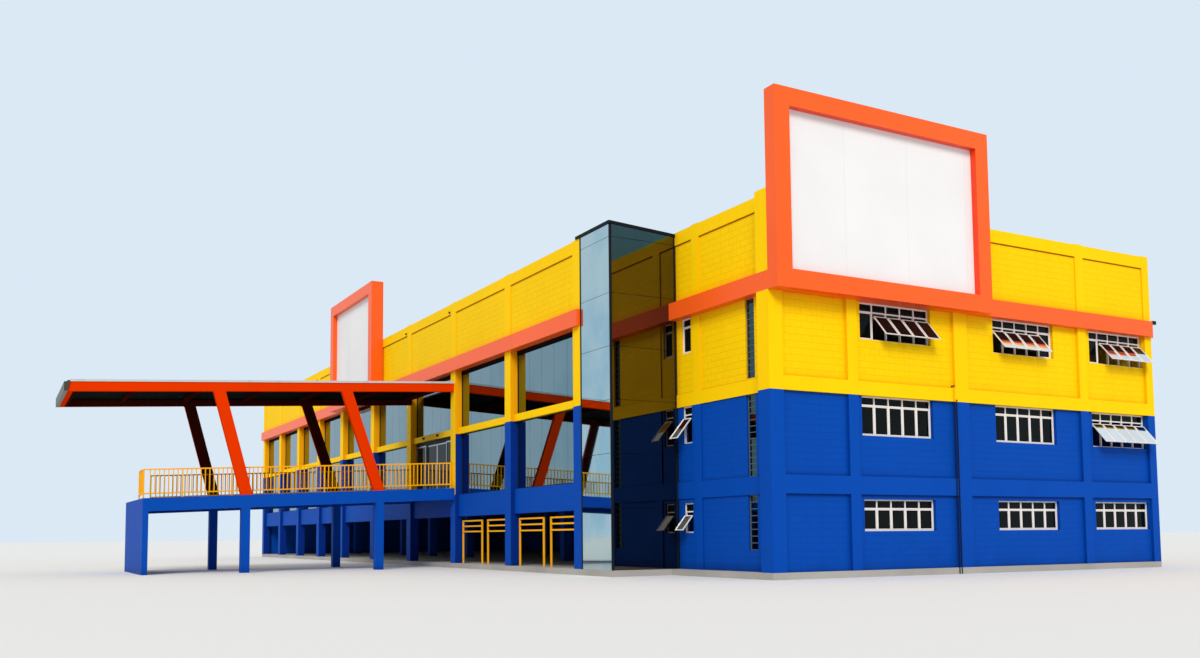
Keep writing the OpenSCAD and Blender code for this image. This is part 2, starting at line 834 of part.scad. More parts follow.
// Canopy over the entrance; y is the distance from the wall
canopy_x1 = column_left(2) + column_w - canopy_inset;
canopy_x0 = canopy_x1 - canopy_w;
beam_l = canopy_l - gutter_d;
near_edge = [canopy_x1 - edge_w, canopy_x1];
far_edge = [canopy_x0, canopy_x0 + edge_w];
between = [far_edge[1], near_edge[0]];
// A point of the canopy's profile at the height t above its top
function canopy_point(y, t) = [-projection - y, canopy_z - y * canopy_fall / 1000 + t];
module canopy_slice(x, y, t) {
    slab(x, [canopy_point(y[0], t[0]), canopy_point(y[1], t[0]),
        canopy_point(y[1], t[1]), canopy_point(y[0], t[1])]);
}
// A beam whose outer end slants out along the gutter
module canopy_beam(x, y) {
    slab(x, [canopy_point(y, 0), canopy_point(y, -edge_h),
        canopy_point(beam_l + gutter_slant, -edge_h), canopy_point(beam_l, 0)]);
}
module canopy_beams() {
    color(orange) place() {
        for (x = [near_edge, far_edge]) canopy_beam(x, 0);
        canopy_beam(between, beam_l - edge_w);
        for (y = [joist_start:joist_pitch:beam_l - 2 * edge_w])
            canopy_slice(between, [y, y + joist_w], [-joist_h, 0]);
    }
}
// The room in the gutter, open to the sky beyond the roof sheet and closed at both ends
module gutter_room(x) {
    slab([x[0] + gutter_t, x[1] - gutter_t], [canopy_point(beam_l + gutter_t, 1),
        canopy_point(canopy_l - gutter_t, 1), canopy_point(canopy_l - gutter_t, gutter_t - edge_h),
        canopy_point(beam_l + gutter_slant + gutter_t, gutter_t - edge_h)]);
}
// The roof sheet with the gutter hanging from its outer edge, as one outline
module canopy_roof() {
    x = [canopy_x0 - sheet_out, canopy_x1 + sheet_out];
    sheet_end = beam_l + gutter_d / 2;
    color(metal) place() difference() {
        slab(x, [canopy_point(0, 0), canopy_point(beam_l, 0),
            canopy_point(beam_l + gutter_slant, -edge_h), canopy_point(canopy_l, -edge_h),
            canopy_point(canopy_l, 0), canopy_point(sheet_end, 0),
            canopy_point(sheet_end, sheet_t), canopy_point(0, sheet_t)]);
        difference() {
            gutter_room(x);
            canopy_slice(x, [0, sheet_end], [0, sheet_t]);
        }
    }
}
// Distance from the wall at which a raked side meets a slope that starts at z
function meets(foot, lean, z, fall) =
    (foot + (z - floor_z) * lean / 1000) / (1 + fall * lean / 1000000);
function near_ten(v) = 10 * round(v / 10);
// A raked column leans outwards from a plate on the deck to a plate under the edge beam
module raked(x, foot, lean) {
    function low(out) = meets(foot + out, lean, floor_z, deck_fall);
    function high(out) = meets(foot + out, lean, canopy_z - edge_h, canopy_fall);
    low_y = near_ten(low(0));
    high_y = near_ten(high(0));
    slab(x, [deck_point(low(0), plate_t / 2), deck_point(low(rake_l), plate_t / 2),
        canopy_point(high(rake_l), -edge_h - plate_t / 2), canopy_point(high(0), -edge_h - plate_t / 2)]);
    deck_slice([x[0] - plate_out, x[1] + plate_out],
        [low_y - plate_out, low_y + rake_l + plate_out], [0, plate_t]);
    canopy_slice(x, [high_y - plate_out, high_y + rake_l + plate_out], [-edge_h - plate_t, -edge_h]);
}
near_rake = [canopy_x1 - rake_w, canopy_x1];
far_rake = [canopy_x0, canopy_x0 + rake_w];
module canopy_columns() {
    color(orange) place() {
        raked(near_rake, inner_foot, inner_lean);
        raked(near_rake, outer_foot, outer_lean);
        raked(far_rake, inner_foot + far_shift, inner_lean);
        raked(far_rake, outer_foot + far_shift, outer_lean);
    }
}

// Entrance deck; y is the distance from the wall
deck_x = [canopy_x0 - deck_out, canopy_x1 + deck_out];
near_side = [deck_x[1] - pier_w, deck_x[1]];
far_side = [deck_x[0], deck_x[0] + pier_w];
// A point of the deck's profile at the height t above its top
function deck_point(y, t) = [-projection - y, floor_z - y * deck_fall / 1000 + t];
module deck_slice(x, y, t) {
    slab(x, [deck_point(y[0], t[0]), deck_point(y[1], t[0]),
        deck_point(y[1], t[1]), deck_point(y[0], t[1])]);
}
module deck() {
    color(blue) place() {
        deck_slice(deck_x, [0, deck_l], [-deck_t, 0]);
        for (x = [near_side, far_side]) deck_slice(x, [0, deck_l], [-deck_beam_h, -deck_t]);
    }
}
// A support from the ground up to the depth t under the deck's top
module pier(x, y, t) {
    slab(x, [[-projection - y[0], 0], [-projection - y[1], 0],
        deck_point(y[1], -t), deck_point(y[0], -t)]);
}
module deck_supports() {
    end = [deck_l - wall_t, deck_l];
    color(blue) place() {
        for (y = [inner_foot, outer_foot]) {
            pier(near_side, [y, y + pier_w], deck_beam_h);
            pier(far_side, [y + far_shift, y + far_shift + pier_w], deck_beam_h);
        }
        for (x = [near_side, far_side]) pier(x, end, deck_beam_h);
        pier([far_side[1], near_side[0]], end, deck_t);
    }
}

// Railings of posts, two rails and balusters
rail_bay = (balusters + 1) * baluster_pitch;
corner_y = deck_l - rail_end;
near_rail = [near_rake[0] - rail_side - rail_w, near_rake[0] - rail_side];
far_rail = [far_rake[1] + rail_side, far_rake[1] + rail_side + rail_w];
module baluster(x, y) {
    deck_slice([x - baluster_w / 2, x + baluster_w / 2], [y - baluster_w / 2, y + baluster_w / 2],
        [rail_gap + rail_w / 2, rail_h - rail_w / 2]);
}
module railing(x, end) {
    first = rail_start + rail_w / 2 + baluster_pitch;
    for (t = [rail_gap, rail_h - rail_w]) deck_slice(x, [rail_start, end], [t, t + rail_w]);
    for (y = [rail_start:rail_bay:end - rail_w - baluster_pitch])
        deck_slice(x, [y, y + rail_w], [0, rail_h - rail_w / 2]);
    deck_slice(x, [end - rail_w, end], [0, rail_h - rail_w / 2]);
    for (y = [first:baluster_pitch:end - 2 * rail_w]) baluster(middle(x), y);
}
module near_railing() { color(yellow) place() railing(near_rail, corner_y); }
module far_railing() { color(yellow) place() railing(far_rail, corner_y - far_rail_end); }
// The end railing turns the deck's corner, and its top rail bends down into its last post
module bent_rail(x, z) {
    r = rail_bend;
    translate([x[0] + r, z[1] - r]) intersection() {
        difference() {
            circle(r, $fn = 48);
            circle(r - rail_w, $fn = 48);
        }
        translate([-r, 0]) square(r);
    }
    translate([x[0] + r, z[1] - rail_w]) square([x[1] - x[0] - r, rail_w]);
    translate([x[0], z[0]]) square([rail_w, z[1] - r - z[0]]);
}
module end_railing() {
    x = [near_rail[0] - end_rail_l, near_rail[0]];
    y = [corner_y - rail_w, corner_y];
    deck_z = deck_point(corner_y, 0)[1];
    color(yellow) place() {
        translate([0, -projection - y[0], 0]) rotate([90, 0, 0]) linear_extrude(rail_w)
            bent_rail(x, [deck_z + rail_gap, deck_z + rail_h]);
        deck_slice([x[0], x[0] + rail_w], y, [0, rail_gap + rail_w]);
        deck_slice([x[0] + rail_w / 2, x[1]], y, [rail_gap, rail_gap + rail_w]);
        for (b = [x[1] - baluster_pitch:-baluster_pitch:x[0] + 2 * rail_w])
            baluster(b, middle(y));
    }
}

// Guard rails between the columns of the open storey
module guard(x) {
    y = [-projection + guard_setback, -projection + guard_setback + guard_w];
    for (i = [0:2]) block(x, y, [guard_z - i * guard_pitch - guard_w, guard_z - i * guard_pitch]);
    for (s = [x[0], x[1] - guard_w]) block([s, s + guard_w], y, [ground_t, guard_z]);
}
module guard_rails() {
    color(yellow) place() for (i = [all_bays - 2, all_bays - 1]) {
        s = gap(front_columns, i);
        m = middle(s);
        guard([s[0] + guard_side, m - guard_gap / 2]);
        guard([m + guard_gap / 2, s[1] - guard_side]);
    }
}

ground_slab();
main_floor();
upper_floor();
roof_slab();
roof_sheets();
blue_columns();
yellow_columns();
inner_columns();
lower_beams();
shop_fascia();
middle_beams();
shop_beams();
roof_band();
parapet_panels();
coping_beams();
right_blue_wall();
right_yellow_wall();
front_blue_wall();
front_yellow_wall();
back_blue_wall();
back_yellow_wall();
left_blue_wall();
left_yellow_wall();
window_frames();
window_glass();
tower_frame();
tower_glass();
tower_cap();
shop_glass();
entrance_frame();
entrance_header();
entrance_glass();
left_leaf();
right_leaf();
sign_frames();
sign_panels();
canopy_beams();
canopy_roof();
canopy_columns();
deck();
deck_supports();
near_railing();
far_railing();
end_railing();
guard_rails();
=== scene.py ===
import math

import bpy
from mathutils import Matrix, Vector


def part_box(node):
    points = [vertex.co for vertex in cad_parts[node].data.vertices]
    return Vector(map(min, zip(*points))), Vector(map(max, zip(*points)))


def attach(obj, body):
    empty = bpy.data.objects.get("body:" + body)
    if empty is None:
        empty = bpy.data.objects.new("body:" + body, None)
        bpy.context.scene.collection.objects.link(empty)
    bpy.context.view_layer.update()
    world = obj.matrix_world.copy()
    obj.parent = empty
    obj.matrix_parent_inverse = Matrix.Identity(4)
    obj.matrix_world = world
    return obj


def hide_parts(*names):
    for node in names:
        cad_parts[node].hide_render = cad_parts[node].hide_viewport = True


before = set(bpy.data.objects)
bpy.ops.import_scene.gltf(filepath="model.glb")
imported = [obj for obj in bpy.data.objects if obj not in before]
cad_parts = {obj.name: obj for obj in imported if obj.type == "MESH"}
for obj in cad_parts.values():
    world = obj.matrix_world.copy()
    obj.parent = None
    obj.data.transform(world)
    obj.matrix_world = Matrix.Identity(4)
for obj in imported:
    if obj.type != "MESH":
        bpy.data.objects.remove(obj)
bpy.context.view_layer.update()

# Places, in metres, from the near corner of the right wall and from the ground
PHOTO_W, PHOTO_H = 1200, 658
DEPTH = 8.605
PROJECTION = 1.095
TOWER_X = 2.580
LEFT_X = 3.575
COLUMN_W, CORNER_W = 0.265, 0.270
FRONT_CORNER_D, BACK_CORNER_D = 0.200, 0.185
MID_COLUMNS = [(1.450, 1.645), (3.650, 3.940), (6.615, 6.820)]
# The front's bays, counted from the tower: number and spacing of the near and the far ones
NEAR_BAYS, BAY = 5, 2.765
FAR_BAYS, FAR_BAY = 4, 2.435
ALL_BAYS = NEAR_BAYS + FAR_BAYS
corner_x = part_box("ground_slab")[1].x
corner_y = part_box("ground_slab")[1].y - DEPTH
PAINT_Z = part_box("middle_beams")[0].z
BAND_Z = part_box("roof_band")[0].z


def at(x, y, z):
    """A point given from the near corner of the right wall."""
    return Vector((corner_x + x, corner_y + y, z))


def column_left(i):
    """The left side of a column of the front, of which the one with number 0 is at the tower."""
    return -LEFT_X - COLUMN_W - min(i, NEAR_BAYS) * BAY - max(i - NEAR_BAYS, 0) * FAR_BAY


FAR_X = column_left(ALL_BAYS)


# Camera at the photo's place; the focal length and the principal point are in pixels of the photo
CAMERA_PLACE, CAMERA_ANGLES = (12.137, -9.505, 0.640), (60.845, 4.317, -0.499)
FOCAL_PX, PRINCIPAL_Y = 1094, 453


def make_camera():
    azimuth, pitch, roll = (math.radians(a) for a in CAMERA_ANGLES)
    forward = Vector((-math.sin(azimuth) * math.cos(pitch), math.cos(azimuth) * math.cos(pitch),
                      math.sin(pitch)))
    level_right = Vector((math.cos(azimuth), math.sin(azimuth), 0))
    level_down = forward.cross(level_right)
    right = level_right * math.cos(roll) - level_down * math.sin(roll)
    down = level_right * math.sin(roll) + level_down * math.cos(roll)
    data = bpy.data.cameras.new("camera")
    data.sensor_width = 36
    data.lens = FOCAL_PX / PHOTO_W * data.sensor_width
    data.shift_y = (PRINCIPAL_Y - PHOTO_H / 2) / PHOTO_W
    data.clip_end = 500
    camera = bpy.data.objects.new("camera", data)
    camera.matrix_world = Matrix.Translation(at(*CAMERA_PLACE)) @ Matrix(
        (right, -down, -forward)).transposed().to_4x4()
    bpy.context.scene.collection.objects.link(camera)
    bpy.context.scene.camera = camera


make_camera()


# Material nodes
def new_material(name):
    material = bpy.data.materials.new(name)
    material.use_nodes = True
    nodes = material.node_tree.nodes
    return material, nodes, material.node_tree.links, nodes["Principled BSDF"]


def math_node(tree, operation, a, b=None, clamp=False):
    node = tree.nodes.new("ShaderNodeMath")
    node.operation = operation
    node.use_clamp = clamp
    for socket, value in zip(node.inputs, (a, b)):
        if isinstance(value, (int, float)):
            socket.default_value = value
        elif value is not None:
            tree.links.new(value, socket)
    return node.outputs[0]


def coordinates(tree):
    """The point's x, y and z, and its position as a vector."""
    where = tree.nodes.new("ShaderNodeTexCoord").outputs["Object"]
    split = tree.nodes.new("ShaderNodeSeparateXYZ")
    tree.links.new(where, split.inputs[0])
    return split.outputs[0], split.outputs[1], split.outputs[2], where


def face_normal(tree):
    """The x, y and z of the face's normal."""
    split = tree.nodes.new("ShaderNodeSeparateXYZ")
    tree.links.new(tree.nodes.new("ShaderNodeNewGeometry").outputs["True Normal"], split.inputs[0])
    return split.outputs


def facing_x(tree):
    """1 on faces that look along X either way, and 0 elsewhere."""
    return math_node(tree, "GREATER_THAN", math_node(tree, "ABSOLUTE", face_normal(tree)[0]), 0.5)


def wall_coordinates(tree):
    """A vector along the wall and up it, for walls that face along X or Y, then z and the place."""
    x, y, z, where = coordinates(tree)
    faces_x = facing_x(tree)
    along = math_node(tree, "ADD", math_node(tree, "MULTIPLY", y, faces_x),
                      math_node(tree, "MULTIPLY", x, math_node(tree, "SUBTRACT", 1.0, faces_x)))
    join = tree.nodes.new("ShaderNodeCombineXYZ")
    tree.links.new(along, join.inputs[0])
    tree.links.new(z, join.inputs[1])
    return join.outputs[0], z, where


def noise(tree, where, scale, detail, stretch=(1, 1, 1)):
    mapping = tree.nodes.new("ShaderNodeMapping")
    mapping.inputs["Scale"].default_value = stretch
    tree.links.new(where, mapping.inputs[0])
    node = tree.nodes.new("ShaderNodeTexNoise")
    node.inputs["Scale"].default_value = scale
    node.inputs["Detail"].default_value = detail
    tree.links.new(mapping.outputs[0], node.inputs["Vector"])
    return node.outputs[0]


def spread(tree, value, low, high, out_low=0.0, out_high=1.0):
    """The value between low and high, stretched or squeezed to another range."""
    node = tree.nodes.new("ShaderNodeMapRange")
    for name, number in (("From Min", low), ("From Max", high), ("To Min", out_low),
                         ("To Max", out_high)):
        node.inputs[name].default_value = number
    tree.links.new(value, node.inputs["Value"])
    return node.outputs[0]


def shade(tree, colour, factor):
    """The colour darkened by a factor that varies over the surface."""
    node = tree.nodes.new("ShaderNodeMix")
    node.data_type = "RGBA"
    node.blend_type = "MULTIPLY"
    node.inputs["Factor"].default_value = 1.0
    if isinstance(colour, tuple):
        node.inputs["A"].default_value = (*colour, 1)
    else:
        tree.links.new(colour, node.inputs["A"])
    tree.links.new(factor, node.inputs["B"])
    return node.outputs["Result"]


def tint(tree, amount, a, b):
    """The colour a, turning to b with the amount."""
    node = tree.nodes.new("ShaderNodeMix")
    node.data_type = "RGBA"
    tree.links.new(amount, node.inputs["Factor"])
    for name, colour in (("A", a), ("B", b)):
        if isinstance(colour, tuple):
            node.inputs[name].default_value = (*colour, 1)
        else:
            tree.links.new(colour, node.inputs[name])
    return node.outputs["Result"]


def occlusion(tree, distance):
    """1 on open faces, and less in corners."""
    node = tree.nodes.new("ShaderNodeAmbientOcclusion")
    node.samples = 6
    node.inputs["Distance"].default_value = distance
    return node.outputs["AO"]


def bump(tree, shader, height, distance, strength):
    node = tree.nodes.new("ShaderNodeBump")
    node.inputs["Strength"].default_value = strength
    node.inputs["Distance"].default_value = distance
    tree.links.new(height, node.inputs["Height"])
    tree.links.new(node.outputs[0], shader.inputs["Normal"])


def within(tree, value, low, high):
    """1 where the value lies between low and high, and 0 elsewhere."""
    return math_node(tree, "MULTIPLY", math_node(tree, "GREATER_THAN", value, low),
                     math_node(tree, "LESS_THAN", value, high))


def column_side(tree):
    """1 on the right sides of the shopfront's columns, where painted shade goes, and 0 elsewhere.
    """
    _, y, z, _ = coordinates(tree)
    normal = face_normal(tree)
    front = corner_y - PROJECTION
    place = math_node(tree, "MULTIPLY", within(tree, y, front - 0.001, front + COLUMN_W),
                      math_node(tree, "LESS_THAN", z, BAND_Z + 0.001))
    return math_node(tree, "MULTIPLY", place, math_node(tree, "GREATER_THAN", normal[0], 0.5))


BLOCK_L, BLOCK_H, JOINT_W, SHEET_JOINT_W = 0.20, 0.10, 0.0034, 0.0015
SHEEN, WALL_DIRT, WALL_ROUGH = 0.07, 0.08, 0.62


def masonry(name, colour, blocks, grime, reveal=None):
    """Painted block work, or smooth painted concrete where blocks is false; streaks and soil near
    the ground are dirt, corners get painted shade, and reveal is a painted shade colour for the
    shopfront columns' right sides."""
    material, nodes, links, shader = new_material(name)
    tree = material.node_tree
    flat, z, where = wall_coordinates(tree)
    patchy = spread(tree, noise(tree, where, 0.55, 5), 0.35, 0.65, 0.955, 1.0)
    # Painted shade: corners and creases darkened by ambient occlusion
    corners = spread(tree, occlusion(tree, 0.16), 0.45, 1.0, 0.50, 0.0)
    streaks = spread(tree, noise(tree, where, 3.0, 6, (3, 3, 0.16)), 0.50, 0.78, 0.0, 1.0)
    base = shade(tree, colour, patchy)
    # Painted shade on the shopfront columns' right sides
    if reveal:
        base = tint(tree, column_side(tree), base, reveal)
    fine = noise(tree, where, 60, 3)
    if blocks:
        brick = nodes.new("ShaderNodeTexBrick")
        for key, value in (("Color1", (1, 1, 1, 1)), ("Color2", (0.965, 0.965, 0.965, 1)),
                           ("Mortar", (0.76, 0.76, 0.76, 1))):
            brick.inputs[key].default_value = value
        for key, value in (("Scale", 1.0), ("Mortar Size", JOINT_W), ("Mortar Smooth", 0.6),
                           ("Bias", -0.3), ("Brick Width", BLOCK_L), ("Row Height", BLOCK_H)):
            brick.inputs[key].default_value = value
        links.new(flat, brick.inputs["Vector"])
        base = shade(tree, base, brick.outputs["Color"])
        groove = math_node(tree, "MULTIPLY", brick.outputs["Fac"], -1.0)
        height = math_node(tree, "ADD", groove, math_node(tree, "MULTIPLY", fine, 0.35))
        bump(tree, shader, height, 0.003, 0.5)
    else:
        bump(tree, shader, fine, 0.0012, 0.5)
    near_ground = spread(tree, z, 0.0, 0.55, 1.0, 0.0)
    soil = math_node(tree, "MULTIPLY", near_ground,
                     spread(tree, noise(tree, where, 2.2, 6), 0.3, 0.7))
    # Dirt streaks and soil near the ground, plus the painted corner shade, tint the paint towards
    # grime
    dirt_and_corner_shade = math_node(tree, "ADD", math_node(tree, "MULTIPLY", streaks, WALL_DIRT),
                      math_node(tree, "MULTIPLY", soil, 0.30))
    dirt_and_corner_shade = math_node(tree, "ADD", dirt_and_corner_shade, corners, clamp=True)
    links.new(tint(tree, dirt_and_corner_shade, base, grime), shader.inputs["Base Color"])
    links.new(spread(tree, fine, 0.3, 0.7, WALL_ROUGH - 0.07, WALL_ROUGH + 0.07),
              shader.inputs["Roughness"])
    shader.inputs["Specular IOR Level"].default_value = SHEEN
    return material


def painted_metal(name, colour, rough=0.35, dirt=0.08, joints=0.0, grime=(0.08, 0.05, 0.03),
                  sheen=SHEEN, inside=None):
    """Painted steel or sheet, with upright joints at a spacing where joints is more than 0; inside
    is a stretch along X, another along Y and the colour of what lies in both, which is painted
    shade in the canopy and in the sign's frame, and a darker gutter."""
    material, nodes, links, shader = new_material(name)
    tree = material.node_tree
    flat, _, where = wall_coordinates(tree)
    patchy = spread(tree, noise(tree, where, 0.9, 5), 0.3, 0.7, 0.95, 1.0)
    base = shade(tree, colour, patchy)
    fine = noise(tree, where, 25, 4)
    if joints:
        brick = nodes.new("ShaderNodeTexBrick")
        brick.offset = 0.0
        for key, value in (("Color1", (1, 1, 1, 1)), ("Color2", (0.96, 0.96, 0.96, 1)),
                           ("Mortar", (0.6, 0.6, 0.6, 1))):
            brick.inputs[key].default_value = value
        for key, value in (("Scale", 1.0), ("Mortar Size", SHEET_JOINT_W), ("Mortar Smooth", 0.5),
                           ("Bias", 0.0), ("Brick Width", joints), ("Row Height", 40.0)):
            brick.inputs[key].default_value = value
        links.new(flat, brick.inputs["Vector"])
        base = shade(tree, base, brick.outputs["Color"])
    if inside:
        x, y = coordinates(tree)[:2]
        in_both = math_node(tree, "MULTIPLY", within(tree, x, *inside[0]),
                            within(tree, y, *inside[1]))
        base = tint(tree, in_both, base, shade(tree, inside[2], patchy))
    wear = spread(tree, noise(tree, where, 4.0, 8, (1, 1, 0.4)), 0.55, 0.85, 0.0, dirt)
    links.new(tint(tree, wear, base, grime), shader.inputs["Base Color"])
    links.new(spread(tree, fine, 0.25, 0.75, rough - 0.08, rough + 0.10),
              shader.inputs["Roughness"])
    bump(tree, shader, fine, 0.0008, 0.4)
    shader.inputs["Specular IOR Level"].default_value = sheen
    return material


def bare_metal(name, colour):
    """Metal with a fine upright brushing."""
    material, _, links, shader = new_material(name)
    tree = material.node_tree
    where = coordinates(tree)[3]
    brushed = noise(tree, where, 40, 3, (1, 1, 0.05))
    links.new(shade(tree, colour, spread(tree, brushed, 0.3, 0.7, 0.86, 1.0)),
              shader.inputs["Base Color"])
    shader.inputs["Metallic"].default_value = 1.0
    links.new(spread(tree, brushed, 0.3, 0.7, 0.24, 0.38), shader.inputs["Roughness"])
    return material


GLASS_ROUGH, GLASS_WAVE = (0.012, 0.027), 0.0006


def reflective_glass(name, colour, painted_side_reflection=None, cloud=None, top=None):
    """Solar glass, which mirrors what stands before it, with a slight roller wave; the side colour
    is a painted darker reflection where it faces along X, top the height at the front edge, the
    rise along Y and the painted sky reflection on that face above it, and cloud the colour of
    painted cloud reflections in patches."""
    material, _, links, shader = new_material(name)
    tree = material.node_tree
    _, y, z, where = coordinates(tree)
    film_and_cloud_noise = noise(tree, where, 0.9, 4, (1, 1, 0.8))
    if cloud:
        colour = tint(tree, spread(tree, film_and_cloud_noise, 0.40, 0.60), colour, cloud)
    if painted_side_reflection:
        if top:
            height, rise, painted_sky_reflection = top
            over = math_node(tree, "SUBTRACT", z, math_node(
                tree, "MULTIPLY", math_node(tree, "SUBTRACT", y, corner_y - PROJECTION), rise))
            painted_side_reflection = tint(tree, spread(tree, over, height, height + 0.03), painted_side_reflection,
                               painted_sky_reflection)
        colour = tint(tree, facing_x(tree), colour, painted_side_reflection)
    links.new(shade(tree, colour, spread(tree, film_and_cloud_noise, 0.35, 0.65, 0.86, 1.0)),
              shader.inputs["Base Color"])
    shader.inputs["Metallic"].default_value = 1.0
    links.new(spread(tree, film_and_cloud_noise, 0.3, 0.7, *GLASS_ROUGH), shader.inputs["Roughness"])
    bump(tree, shader, noise(tree, where, 1.6, 1), GLASS_WAVE, 0.35)
    return material


def dark_glass(name, colour=(0.003, 0.005, 0.005)):
    """Clear glass in front of a dark room."""
    material, _, links, shader = new_material(name)
    tree = material.node_tree
    where = coordinates(tree)[3]
    links.new(shade(tree, colour, spread(tree, noise(tree, where, 3, 3), 0.3, 0.7, 0.6, 1.0)),
              shader.inputs["Base Color"])
    links.new(spread(tree, noise(tree, where, 9, 2), 0.3, 0.7, 0.02, 0.06),
              shader.inputs["Roughness"])
    shader.inputs["Specular IOR Level"].default_value = 0.08
    return material


def concrete(name, colour):
    """Bare concrete with pale clouds and grain."""
    material, _, links, shader = new_material(name)
    tree = material.node_tree
    where = coordinates(tree)[3]
    cloud = spread(tree, noise(tree, where, 0.9, 8), 0.3, 0.7, 0.78, 1.0)
    grain = noise(tree, where, 45, 5)
    base = shade(tree, shade(tree, colour, cloud), spread(tree, grain, 0.3, 0.7, 0.92, 1.0))
    links.new(base, shader.inputs["Base Color"])
    shader.inputs["Roughness"].default_value = 0.85
    bump(tree, shader, grain, 0.0015, 0.5)
    return material


YELLOW = (0.99, 0.62, 0.0)
BLUE = (0.0, 0.064, 0.41)
ORANGE = (0.98, 0.112, 0.004)
DEEP_ORANGE = (0.74, 0.036, 0.0)
CANOPY_SHADE = (0.050, 0.006, 0.002)
PALE_GUTTER, FRAME_REVEAL_SHADE = (0.048, 0.046, 0.032), (0.84, 0.042, 0.0)
# Painted shade colours for the right sides of the shopfront's columns, and for each paint the
# colour it turns to with dirt and with painted shade in corners
YELLOW_SIDE_SHADE, BLUE_SIDE_SHADE = (0.86, 0.36, 0.0), (0.0, 0.022, 0.21)
YELLOW_DIRT_AND_SHADE, BLUE_DIRT_AND_SHADE = (0.66, 0.24, 0.0), (0.0, 0.018, 0.14)
EDGE_W, GUTTER_D, MASK_MARGIN = 0.100, 0.100, 0.002
canopy_low, canopy_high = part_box("canopy_beams")
roof_low, roof_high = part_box("canopy_roof")
canopy_x = (roof_low.x - corner_x, roof_high.x - corner_x)
beam_end = corner_y - roof_low.y - GUTTER_D
# Stretches along X and Y with another colour: the canopy's inner side, near black as painted shade,
# and its darker gutter
canopy_shade_zone = ((canopy_low.x + EDGE_W / 2, canopy_high.x - EDGE_W - MASK_MARGIN),
                (corner_y - beam_end + EDGE_W / 2, corner_y), CANOPY_SHADE)
canopy_gutter = ((roof_low.x - EDGE_W, roof_high.x + EDGE_W),
                 (roof_low.y - EDGE_W, corner_y - beam_end - MASK_MARGIN), PALE_GUTTER)
# The inner sides of the corner sign's frame, up to just behind its face, darkened as painted shade
SIGN_PANEL_X, SIGN_FACE_X, SIGN_BORDER, SIGN_L = 0.120, 0.230, 0.270, 4.290
sign_reveal_shade_zone = ((corner_x + SIGN_PANEL_X, corner_x + SIGN_FACE_X - MASK_MARGIN),
           (corner_y + SIGN_BORDER - MASK_MARGIN, corner_y + SIGN_L - SIGN_BORDER + MASK_MARGIN),
           FRAME_REVEAL_SHADE)
# Where the painted parapet reflection on the tower's side gives way to a painted sky reflection:
# the height at its front, and the rise along Y
MIRRORED_EDGE, MIRRORED_RISE = 4.915, 0.4825
MATERIALS = {
    "yellow_blocks": masonry("yellow_blocks", YELLOW, True, YELLOW_DIRT_AND_SHADE),
    "yellow_concrete": masonry("yellow_concrete", YELLOW, False, YELLOW_DIRT_AND_SHADE, YELLOW_SIDE_SHADE),
    "blue_blocks": masonry("blue_blocks", BLUE, True, BLUE_DIRT_AND_SHADE),
    "blue_concrete": masonry("blue_concrete", BLUE, False, BLUE_DIRT_AND_SHADE, BLUE_SIDE_SHADE),
    "orange_band": painted_metal("orange_band", ORANGE, 0.34, joints=1.5, grime=(0.5, 0.05, 0.01),
                                 sheen=0.36, inside=sign_reveal_shade_zone),
    "orange_steel": painted_metal("orange_steel", DEEP_ORANGE, 0.45, grime=(0.3, 0.02, 0.0),
                                  sheen=0.0, inside=canopy_shade_zone),
    "yellow_steel": painted_metal("yellow_steel", (0.94, 0.42, 0.0), 0.4, grime=(0.4, 0.16, 0.0)),
    "pale_metal": painted_metal("pale_metal", (0.56, 0.58, 0.58), 0.4, dirt=0.25, sheen=0.3,
                                inside=canopy_gutter),
    "roof_metal": painted_metal("roof_metal", (0.46, 0.49, 0.50), 0.4, dirt=0.35, sheen=0.3),
    # The canopy's underside, near black as painted shade
    "shaded_dark_sheet": painted_metal("shaded_dark_sheet", (0.003, 0.0025, 0.002), 0.7, dirt=0.05,
                                sheen=0.01),
    "dark_metal": painted_metal("dark_metal", (0.010, 0.013, 0.016), 0.4, sheen=0.04),
    # A real dark header, made darker still as painted shade under the band
    "shaded_header_metal": painted_metal("shaded_header_metal", (0.004, 0.006, 0.008), 0.6, dirt=0.02,
                                  sheen=0.01),
    "white_metal": painted_metal("white_metal", (0.80, 0.76, 0.74), 0.4, grime=(0.35, 0.28, 0.22)),
    "grey_metal": painted_metal("grey_metal", (0.10, 0.12, 0.12), 0.4, grime=(0.05, 0.04, 0.03)),
    "aluminium": bare_metal("aluminium", (0.36, 0.40, 0.43)),
    # The tower's glass: a painted reflection on its side, painted sky reflection at its top,
    # painted clouds
    "tower_glass": reflective_glass("tower_glass", (0.56, 0.69, 0.71), (0.135, 0.115, 0.095),
                                    cloud=(0.33, 0.52, 0.60),
                                    top=(MIRRORED_EDGE, MIRRORED_RISE, (0.085, 0.195, 0.235))),
    # Painted cloud reflections on the shop glass
    "shop_glass": reflective_glass("shop_glass", (0.21, 0.32, 0.36), cloud=(0.15, 0.26, 0.30)),
    "slot_glass": reflective_glass("slot_glass", (0.045, 0.09, 0.10)),
    "sash_glass": reflective_glass("sash_glass", (0.90, 0.92, 0.92)),
    "dark_glass": dark_glass("dark_glass"),
    "lamp_glass": dark_glass("lamp_glass", (0.5, 0.5, 0.48)),
    "white_panel": painted_metal("white_panel", (0.82, 0.82, 0.83), 0.35, dirt=0.02, joints=1.25,
                                 grime=(0.6, 0.6, 0.6)),
    "concrete": concrete("concrete", (0.42, 0.40, 0.37)),
}
